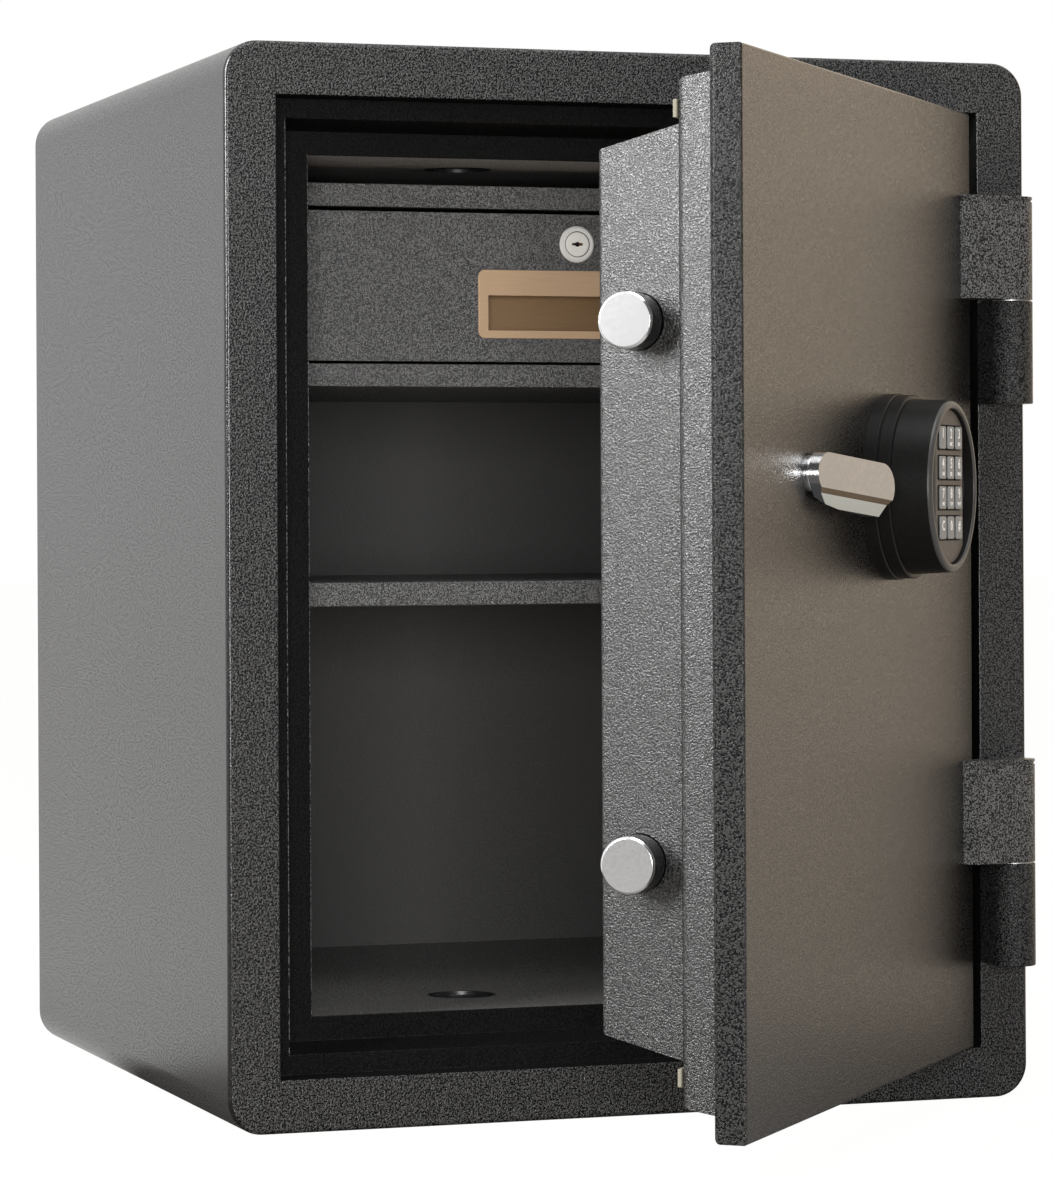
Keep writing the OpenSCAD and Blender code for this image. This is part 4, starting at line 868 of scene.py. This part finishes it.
@dataclass
class Drawer:
    """The drawer with its flush pull and key lock.

    The keyhole is given by the corners of its lower half.
    """

    front_y: float = 100.0
    recess_start: float = 0.6
    lock_z: float = 489.25
    ring_radius: float = 10.5
    ring_proud: float = 1.5
    ring_edge: float = 0.5
    ring_bevel: float = 1.0
    hole_gap: float = 0.06
    hole_bevel: float = 0.35
    hole_shade: float = 0.4
    plug_radius: float = 7.0
    plug_sunk: float = 0.1
    plug_bevel: Point = (0.5, 0.7)
    keyhole: tuple[Corner, ...] = (
        (-3.4, -0.6, 0.3), (-1.3, -0.75, 0.2), (-0.9, -1.25, 0.2), (0.6, -1.45, 0.4), (1.3, -0.8, 0.2),
        (3.2, -0.8, 0.3))
    keyhole_depth: float = 5.0
    keyhole_top: float = 2.5
    keyhole_lip: float = 0.2
    keyhole_reach: float = 6.0
    barrel_radius: float = 9.0
    barrel_length: float = 12.8
    cam_gap: float = 0.05
    brass_x: float = 1.2
    body: str = "drawer"

    def build(self) -> None:
        """Builds and dresses every piece of the drawer."""
        eased_copy("drawer_front", 0.4, CABINET, self.body)
        paint_nodes(CABINET, "drawer_tray")
        paint_nodes(STEEL, "drawer_slides", "drawer_lock_cam")
        pull = eased_copy("drawer_pull", 0.22, BRONZE, self.body)
        # Faces inside the pull's recess are painted darker as shade.
        repaint(pull, RECESS_SHADE, Carrier.BODY, lambda middle, _: middle.y > self.front_y + self.recess_start)
        self.lock_ring()
        self.lock_plug()

    def from_axis(self, middle: Vector) -> float:
        """How far a face is from the lock's axis."""
        return math.hypot(middle.x, middle.z - self.lock_z)

    def lock_ring(self) -> None:
        """Builds the ring with its barrel: near-white as painted reflection, and near-black at its inner edge
        as painted shade.
        """
        wide, proud, hole = self.ring_radius, self.ring_proud, self.plug_radius + self.hole_gap
        barrel, bevel, end = self.barrel_radius, self.hole_bevel, self.cam_gap - self.barrel_length
        profile = rounded(
            [(hole, end, 0), (barrel, end, 0.3), (barrel, 0.0, 0), (wide, 0.0, 0.1),
             (wide, self.ring_edge, 0.2), (wide - self.ring_bevel, proud, 0.35),
             (hole + bevel, proud, 0.15), (hole, proud - bevel, 0)], steps=4)
        mesh = laid(turned(profile, closed=True), (0, self.front_y, self.lock_z))
        obj = smoothed(as_object("drawer_lock_body_finished", mesh, Carrier.BODY))
        ring = finish_piece(obj, self.body, LOCK_RING, "drawer_lock_body")
        # The lock ring's inner edge is painted near-black as shade in the gap round the plug.
        dark = hole + self.hole_shade
        repaint(ring, SHADE_BLACK, Carrier.BODY, lambda middle, _: self.from_axis(middle) < dark)

    def lock_plug(self) -> None:
        """Builds the turning plug, cut by a keyhole: a round middle with a level slot."""
        radius, proud, end = self.plug_radius, self.ring_proud, -self.barrel_length
        rim = proud - self.plug_sunk
        profile = rounded(
            [(0, end, 0), (radius, end, 0.3), (radius, rim, 0.15), (radius - self.plug_bevel[0], rim, 0),
             (radius - self.plug_bevel[1], proud, 0.1), (0, proud, 0)], steps=4)
        plug = as_object("drawer_lock_plug_finished", turned(profile), None)
        upper = [(x, -z, ease) for x, z, ease in reversed(self.keyhole)]
        outline = rounded([*self.keyhole, *upper], steps=3)
        loops = [[(x, z, h) for x, z in outline] for h in (-self.keyhole_depth, self.keyhole_top)]
        cutter = as_object("keyhole", lofted(loops), None)
        cut = plug.modifiers.new("Keyhole", "BOOLEAN")
        cut.operation = "DIFFERENCE"
        cut.object = cutter
        baked(plug)
        bpy.data.objects.remove(cutter)
        mesh = bmesh.new()
        mesh.from_mesh(plug.data)
        laid(mesh, (0, self.front_y, self.lock_z))
        bmesh.ops.transform(mesh, matrix=Carrier.BODY.matrix(), verts=mesh.verts)
        mesh.to_mesh(plug.data)
        mesh.free()
        # The plug's face is near-white as painted reflection.
        plug = finish_piece(smoothed(plug), "drawer_lock", LOCK_FACE, "drawer_lock_plug")

        # The keyhole's inside is painted near-black as shade, with brass on its right.
        lip = self.front_y - proud + self.keyhole_lip
        for finish, start in ((SHADE_BLACK, -radius), (BRASS, self.brass_x)):
            repaint(plug, finish, Carrier.BODY, lambda middle, _: (
                middle.y > lip and middle.x > start and self.from_axis(middle) < self.keyhole_reach))


@dataclass
class Door:
    """The door's shell, its seal, its half of the hinges and the works inside it."""

    lever_x: float = -97.5
    lever_z: float = 353.5
    collar_radius: float = 8.9
    collar_height: float = 1.8
    spindle_hole: float = 6.06
    left: float = -204.5
    bottom: float = 31.2
    ledge: float = 38.0
    ledge_in: float = 15.2
    seal_in: float = 24.5
    seal_width: float = 9.0
    seal_thick: float = 2.2
    seal_gap: float = 0.2
    seal_ease: float = 0.5
    edge_limit: float = -0.5
    body: str = "door"

    def build(self) -> None:
        """Builds and dresses every piece of the door."""
        skin = eased_copy("door_skin", 0.4, DOOR, self.body)
        repaint(skin, EDGE, Carrier.DOOR, lambda _, normal: normal.y > self.edge_limit)
        eased_copy("door_step", 0.4, STEP, self.body)
        eased_copy("door_plug", 0.5, PLUG, self.body)
        self.seal()
        # The door's knuckles take the hinge coat lightened as painted light.
        eased_copy("hinge_door_knuckles", 0.5, KNUCKLE_LIT, self.body)
        self.collar()
        paint_nodes(FILLING, "door_insulation")
        paint_nodes(STEEL, "bolt_guides", "lock_case")

    def seal(self) -> None:
        """Lays the heat seal as four strips, those at the top and the bottom right across the ledge."""
        width, height = -2 * self.left, 2 * (MID_Z - self.bottom)
        near, far = self.seal_in, self.seal_in + self.seal_width
        low, high = far + self.seal_gap, height - far - self.seal_gap
        strips = [(self.ledge_in, near, width - self.ledge_in, far),
                  (self.ledge_in, height - far, width - self.ledge_in, height - near),
                  (near, low, far, high), (width - far, low, width - near, high)]
        mesh = bmesh.new()
        for x0, z0, x1, z1 in strips:
            made = bmesh.ops.create_cube(mesh, size=1.0)["verts"]
            bmesh.ops.scale(mesh, vec=(x1 - x0, self.seal_thick, z1 - z0), verts=made)
            deep = self.ledge + self.seal_thick / 2
            middle = (self.left + (x0 + x1) / 2, deep, self.bottom + (z0 + z1) / 2)
            bmesh.ops.translate(mesh, vec=middle, verts=made)
        edges, ease = mesh.edges[:], self.seal_ease
        bmesh.ops.bevel(mesh, geom=edges, offset=ease, segments=3, profile=0.5, affect="EDGES")
        obj = smoothed(as_object("door_seal_finished", mesh, Carrier.DOOR))
        finish_piece(obj, self.body, SEAL, "door_seal")

    def collar(self) -> None:
        """Builds the bright collar round the lever's neck."""
        high, wide, hole = self.collar_height, self.collar_radius, self.spindle_hole
        corners = [(hole, 0.0, 0), (wide, 0.0, 0.1), (wide, high, 0.7), (hole, high, 0.3)]
        profile = rounded(corners, steps=5)
        mesh = laid(turned(profile, closed=True), (self.lever_x, 0, self.lever_z))
        obj = smoothed(as_object("lever_collar_finished", mesh, Carrier.DOOR))
        finish_piece(obj, self.body, CHROME, "lever_collar")


@dataclass
class LeverHandle:
    """The lever with its spindle and crank.

    Each entry of its table of painted light and shade is a finish for the faces whose normal's Y and Z lie
    within two ranges: chrome on the lever's top and sides as painted highlight, dark nickel in its step as
    painted shade, and pale nickel on its lower bevel as painted reflection.
    """

    axis_x: float = -97.5
    axis_z: float = 353.5
    hub_radius: float = 10.4
    reach: float = 63.0
    droop: float = math.radians(5.7)
    back: float = 6.6
    slack: float = 0.1
    lean: float = 4.5
    painted_light_and_shade: tuple[tuple[Finish, Point, Point], ...] = (
        (CHROME, (-0.35, 0.35), (-0.5, 1.1)),
        (NICKEL_STEP_SHADE, (-1.1, -0.4), (-0.8, -0.4)),
        (NICKEL_REFLECTION, (-1.1, -0.7), (-0.4, -0.12)),
    )
    body: str = "lever_handle"

    def build(self) -> None:
        """Builds and dresses the lever handle."""
        lever = eased_copy("lever", 0.7, NICKEL, self.body, segments=4, reshape=self.leaned)
        # Chrome on the lever's top and sides is painted highlight, dark nickel in its step painted shade,
        # pale nickel on its bevel painted reflection.
        for finish, (y0, y1), (z0, z1) in self.painted_light_and_shade:
            repaint(lever, finish, Carrier.DOOR, lambda _, normal: y0 < normal.y < y1 and z0 < normal.z < z1)
        eased_copy("handle_spindle", 0.3, STEEL, self.body, reshape=self.leaned)
        paint_nodes(STEEL, "bolt_cam")

    def leaned(self, point: Vector) -> Vector:
        """Brings the lever closer to the door at its hub and leaves it at its tip."""
        if point.y > self.slack - self.back:
            return point
        right, up = point.x - self.axis_x, point.z - self.axis_z
        along = right * math.cos(self.droop) - up * math.sin(self.droop)
        share = (self.reach - along) / (self.reach + self.hub_radius)
        return point + Vector((0, self.lean * share, 0))


@dataclass
class BoltWork:
    """The two live bolts and the bar that joins them."""

    rows: RowTree
    radius: float = 14.15
    tip_x: float = -183.887
    length: float = 62.04
    axis_y: float = 67.5
    spread: float = 133.0
    chamfer: float = 1.0
    crown_in: float = 0.5
    crown_low: float = 0.05
    tail_radius: float = 7.0
    tail_length: float = 8.0
    side_limit: float = 0.3
    body: str = "bolt_work"

    def build(self) -> None:
        """Builds the pair of bolts and dresses the bar."""
        full, edge, end, tail = self.radius, self.chamfer, self.length, self.length + self.tail_length
        profile = rounded(
            [(0, 0, 0), (full - edge - self.crown_in, 0.0, 0), (full - edge, self.crown_low, 0.3),
             (full, edge, 0.5), (full, end, 0.5), (self.tail_radius, end, 0), (self.tail_radius, tail, 0.5),
             (0, tail, 0)], steps=5)
        mesh = laid(turned(profile, steps=120), (0, 0, 0), "Y")
        turn = Matrix.Scale(MM, 4) @ Matrix.Rotation(DOOR_OPEN, 4, "Z")
        bmesh.ops.transform(mesh, matrix=turn, verts=mesh.verts)
        obj = as_object("live_bolts_finished", mesh, None)
        low = Carrier.DOOR.matrix() @ Vector((self.tip_x, self.axis_y, MID_Z - self.spread))
        self.rows.pair(obj, low, Vector((0, 0, 2 * self.spread * MM)), (0, 0, 0), CHROME)
        bolts = finish_piece(smoothed(obj), self.body, CHROME, "live_bolts")
        # The bolts' round sides are painted near-black as a dark reflection.
        repaint(bolts, CHROME_SIDE_REFLECTION, Carrier.DOOR, lambda _, normal: abs(normal.x) < self.side_limit)
        paint_nodes(STEEL, "bolt_bar", "lock_bolt")


@dataclass
class Keypad:
    """The round keypad with its twelve keys."""

    LABELS = "123456789C0#"
    COLUMNS = 3
    LAST_ROW = 3
    NAMES = {"C": "clear", "#": "hash"}
    LETTERS = {"2": "ABC", "3": "DEF", "4": "GHI", "5": "JKL", "6": "MNO", "7": "PRS", "8": "TUV", "9": "WXY"}
    KEY_SIZES = {"Side": 12.0, "Corner": 1.1, "Height": 3.2, "Ease": 0.5}

    caps: KeyCapTree
    centre_x: float = 40.5
    centre_z: float = 347.3
    base_radius: float = 49.3
    base_height: float = 7.0
    ring_top: float = 14.5
    ring_in: float = 0.7
    height: float = 36.0
    foot_radius: float = 46.3
    face_radius: float = 45.2
    dish_radius: float = 41.0
    dish_deep: float = 7.0
    lip_deep: float = 2.6
    lip_limit: float = -0.1
    key_face: float = 34.2
    key_limit: float = -0.3
    pitch_x: float = 15.4
    pitch_z: float = 15.8
    rise: float = 1.9
    stem_radius: float = 2.0
    stem_end: float = 26.5
    figure_size: float = 7.2
    figure_proud: float = 0.02
    figure_thick: float = 0.05
    figure_bold: float = 0.018
    figure_weld: float = 1e-4
    figure_up: float = 2.0
    last_row_up: float = 0.9
    letter_size: float = 2.7
    letter_down: float = 3.3
    body: str = "door"

    def build(self) -> None:
        """Builds the housing, the panel and the keys."""
        self.base()
        self.housing()
        eased_copy("keypad_panel", 0.25, PANEL, self.body)
        for index, label in enumerate(self.LABELS):
            self.key(label, index % self.COLUMNS - 1, index // self.COLUMNS)

    def shell(self, node: str, corners: list[Corner]) -> Piece:
        """Turns one shell of the keypad, puts it in its node's place and returns it."""
        profile = rounded(corners, steps=6)
        mesh = laid(turned(profile, steps=160), (self.centre_x, 0, self.centre_z))
        obj = smoothed(as_object(f"{node}_finished", mesh, Carrier.DOOR))
        return finish_piece(obj, self.body, KEYPAD, node)

    def base(self) -> None:
        """Builds the two-ring base."""
        wide, groove, top, first = self.base_radius, self.ring_in, self.ring_top, self.base_height
        self.shell("keypad_base", [
            (0, 0, 0), (wide, 0, 0), (wide, first - groove, 0.3), (wide - groove, first, 0.2),
            (wide - 2 * groove, first, 0), (wide - 2 * groove, first + groove / 2, 0),
            (wide - groove, first + groove, 0.2), (wide - groove, top - groove, 0.3),
            (wide - 2 * groove, top, 0.3), (0, top, 0)])

    def housing(self) -> None:
        """Builds the housing with its soft lip, lighter as painted sheen, and its recess."""
        face, dish = self.height, self.height - self.dish_deep
        obj = self.shell("keypad_housing", [
            (0, self.ring_top, 0), (self.foot_radius, self.ring_top, 0), (self.face_radius, face, 2.4),
            (self.dish_radius, face, 1.2), (self.dish_radius, dish, 0.8), (0, dish, 0)])
        repaint(obj, LIP_SHEEN, Carrier.DOOR, lambda middle, normal: (
            middle.y < self.lip_deep - face and normal.y < self.lip_limit))

    def key(self, label: str, column: int, row: int) -> None:
        """Builds one key with its stem and its figure.

        Args:
            label: The figure on the key.
            column: Its column, from -1 to 1.
            row: Its row, from 0 at the top.
        """
        name = f"key_{self.NAMES.get(label, label)}"
        x = self.centre_x + column * self.pitch_x
        z = self.centre_z + self.rise + (self.LAST_ROW / 2 - row) * self.pitch_z
        door, under = Carrier.DOOR.matrix(), self.key_face - self.KEY_SIZES["Height"]
        facing = Matrix.Rotation(DOOR_OPEN, 4, "Z") @ Matrix.Rotation(QUARTER, 4, "X")
        place = Matrix.Translation(door @ Vector((x, -under, z))) @ facing
        cap = self.caps.make(f"{name}_finished", self.KEY_SIZES, place, KEY)
        wide, end = self.stem_radius, self.stem_end
        stem = laid(turned([(0, end), (wide, end), (wide, under), (0, under)], steps=24), (x, 0, z))
        bmesh.ops.transform(stem, matrix=door, verts=stem.verts)
        stem.from_mesh(cap.data)
        stem.to_mesh(cap.data)
        stem.free()
        button = f"{name}_button"
        cap = finish_piece(smoothed(cap), button, KEY, name)
        # The keys' sides are painted near-black as shade.
        repaint(cap, SHADE_BLACK, Carrier.DOOR, lambda _, normal: normal.y > self.key_limit)
        up = self.last_row_up if row == self.LAST_ROW else self.figure_up
        at = Vector((x, -self.key_face - self.figure_proud, z))
        self.figure(f"{name}_figure", label, at + Vector((0, 0, up)), button, self.figure_size)
        if label in self.LETTERS:
            below = at - Vector((0, 0, self.letter_down))
            self.figure(f"{name}_letters", self.LETTERS[label], below, button, self.letter_size)

    def figure(self, name: str, label: str, at: Vector, body: str, size: float) -> None:
        """Builds the figure on a key as a thin raised mesh.

        Args:
            name: The piece's name.
            label: What it says.
            at: Its middle, in the door's drawing.
            body: The body of its key.
            size: Height of its letters.
        """
        text = bpy.data.curves.new(name, "FONT")
        text.body = label
        text.size = size
        text.align_x = "CENTER"
        text.align_y = "CENTER"
        text.extrude = self.figure_thick
        text.offset = self.figure_bold * size
        text.resolution_u = 4
        holder = new_object(name, text)
        graph = bpy.context.evaluated_depsgraph_get()
        data = bpy.data.meshes.new_from_object(holder.evaluated_get(graph))
        bpy.data.objects.remove(holder)
        mesh = bmesh.new()
        mesh.from_mesh(data)
        bmesh.ops.remove_doubles(mesh, verts=mesh.verts, dist=self.figure_weld)
        bmesh.ops.recalc_face_normals(mesh, faces=mesh.faces)
        finish_piece(as_object(name, laid(mesh, at), Carrier.DOOR), body, FIGURE)


@dataclass
class Lamp:
    """A soft area lamp, in metres and watts."""

    name: str
    place: Place
    aim: Place
    size: Point
    power: float

    def build(self) -> None:
        """Builds the lamp."""
        data = bpy.data.lights.new(self.name, "AREA")
        data.shape = "RECTANGLE"
        data.size, data.size_y = self.size
        data.energy = self.power
        obj = new_object(self.name, data)
        obj.location = self.place
        obj.rotation_euler = (Vector(self.aim) - Vector(self.place)).to_track_quat("-Z", "Y").to_euler()


@dataclass
class Studio:
    """Floor, lamps, world and camera.

    A side is a direction from the safe, and a reach is the two cosines, or distances in metres, between which
    a mask rises.
    """

    focal_pixels: float = 4356.56
    picture: Point = (1053.0, 1200.0)
    middle: Point = (526.0, 518.2)
    sensor: float = 36.0
    sight: float = 100.0
    yaw: float = math.radians(18.8355)
    roll: float = math.radians(-0.2823)
    eye: Place = (-838.81, -2266.3, 331.65)
    ambient: float = 0.5
    white: Colour = (1.0, 1.0, 1.0)
    warm: Colour = (1.28, 1.06, 0.82)
    warm_side: Place = (0.86, 0.5, 0.0)
    warm_reach: Point = (0.5, 0.95)
    dark_side: Place = (0.323, -0.946, 0.0)
    dark_reach: Point = (0.08, 0.65)
    dark: float = 0.8
    floor_size: float = 20.0
    floor_tone: Colour = (0.42, 0.36, 0.3)
    floor_glow: float = 0.88
    floor_warm: float = 0.8
    floor_seen: float = 1.1
    floor_mirrored: float = 1.06
    floor_reach: Point = (0.2, 0.8)
    dim_side: Place = (-0.8, -0.6, 0.0)
    dim_left: float = 0.6
    dim_right: float = 0.36
    back_side: Place = (-0.33, 0.94, 0.0)
    back_reach: Point = (0.3, 0.75)
    near_reach: Point = (0.35, 0.7)
    near_glow: float = 0.1
    lamps: tuple[Lamp, ...] = (
        Lamp("Left softbox", (-1.66, -0.73, 1.1), (-0.07, -0.57, 0.4), (0.6, 1.2), 61.0),
        Lamp("Front softbox", (-1.0, -3.0, 0.45), (0, -0.1, 0.3), (0.9, 0.7), 49.0),
        Lamp("Top softbox", (0.1, -0.9, 2.4), (0, 0, 0.3), (1.4, 1.4), 32.0),
    )

    def build(self) -> None:
        """Builds the studio."""
        self.camera()
        self.world()
        self.floor()
        for lamp in self.lamps:
            lamp.build()

    def camera(self) -> None:
        """Puts the camera where the photograph was taken from."""
        data = bpy.data.cameras.new("Camera")
        long_side = max(self.picture)
        data.sensor_width = self.sensor
        data.lens = self.focal_pixels / long_side * self.sensor
        data.shift_x = (self.picture[0] / 2 - self.middle[0]) / long_side
        data.shift_y = (self.middle[1] - self.picture[1] / 2) / long_side
        data.clip_end = self.sight
        obj = new_object("Camera", data)
        turn = Matrix.Rotation(-self.yaw, 4, "Z") @ Matrix.Rotation(QUARTER, 4, "X")
        turn = turn @ Matrix.Rotation(self.roll, 4, "Z")
        obj.matrix_world = Matrix.Translation(Carrier.BODY.matrix() @ Vector(self.eye)) @ turn
        bpy.context.scene.camera = obj

    def world(self) -> None:
        """Makes the surroundings white to the camera and to gloss, and softer as light."""
        world = bpy.data.worlds.new("Studio")
        lay = emptied(world)
        path = lay.add("ShaderNodeLightPath").outputs
        camera = path["Is Camera Ray"]
        mirrored = lay.maths("MAXIMUM", path["Is Transmission Ray"], path["Is Glossy Ray"])
        bright = lay.maths("ADD", lay.times(mirrored, 1.0 - self.ambient), self.ambient)
        where = lay.add("ShaderNodeTexCoord").outputs["Generated"]
        facing = lay.times(lay.towards(where, self.dark_side, self.dark_reach), mirrored)
        room = lay.times(bright, lay.maths("SUBTRACT", 1.0, lay.times(facing, self.dark)))
        unseen = lay.maths("SUBTRACT", 1.0, camera)
        right = lay.times(lay.towards(where, self.warm_side, self.warm_reach), unseen)
        colour = lay.mixed(self.white, self.warm, right, 1.0)
        strength = lay.maths("MAXIMUM", room, camera)
        back = lay.add("ShaderNodeBackground", {"Color": colour, "Strength": strength})
        lay.add("ShaderNodeOutputWorld", {"Surface": back.outputs[0]})
        bpy.context.scene.world = world
        bpy.context.scene.view_settings.view_transform = "Standard"

    def floor(self) -> None:
        """Lays a plain white floor that keeps a faint shadow, and shows dimmer in gloss."""
        mesh = bmesh.new()
        bmesh.ops.create_grid(mesh, x_segments=1, y_segments=1, size=self.floor_size)
        floor = as_object("Floor", mesh, None)
        material = bpy.data.materials.new("White floor")
        lay = emptied(material)
        path = lay.add("ShaderNodeLightPath").outputs
        mirrored = path["Is Glossy Ray"]
        where = lay.add("ShaderNodeTexCoord").outputs["Object"]
        apart = lay.add("ShaderNodeVectorMath", {0: where}, operation="LENGTH").outputs["Value"]
        way = lay.add("ShaderNodeVectorMath", {0: where}, operation="NORMALIZE").outputs[0]
        left = lay.towards(way, self.dim_side, self.floor_reach)
        right = lay.towards(way, self.warm_side, self.floor_reach)
        behind = lay.towards(way, self.back_side, self.back_reach)
        near = lay.ramp(apart, *self.near_reach, self.near_glow, 1.0)
        dimmer = lay.maths("ADD", lay.times(left, self.dim_left), lay.times(right, self.dim_right))
        front = lay.times(near, lay.maths("SUBTRACT", self.floor_mirrored, dimmer))
        levels = {"Factor": mirrored, "A": self.floor_seen, "B": lay.maths("MAXIMUM", behind, front)}
        strength = lay.add("ShaderNodeMix", levels, data_type="FLOAT").outputs["Result"]
        colour = lay.mixed(self.white, self.warm, lay.times(right, mirrored), self.floor_warm)
        glow = lay.add("ShaderNodeEmission", {"Color": colour, "Strength": strength})
        plain = lay.add("ShaderNodeBsdfDiffuse", {"Color": (*self.floor_tone, 1.0)})
        seen = lay.times(lay.maths("ADD", path["Is Camera Ray"], mirrored), self.floor_glow)
        mix = lay.add("ShaderNodeMixShader", {0: seen, 1: plain.outputs[0], 2: glow.outputs[0]})
        lay.add("ShaderNodeOutputMaterial", {"Surface": mix.outputs[0]})
        floor.data.materials.append(material)


def main() -> None:
    """Builds the safe's pieces in order, then the studio."""
    logging.basicConfig(level=logging.INFO, format="%(name)s: %(message)s")
    rows = RowTree()
    door_parts = (Door(), LeverHandle(), BoltWork(rows), Keypad(KeyCapTree()))
    for part in (SafeBody(rows), Interior(), Drawer(), *door_parts, Studio()):
        part.build()


if __name__ == "__main__":
    main()
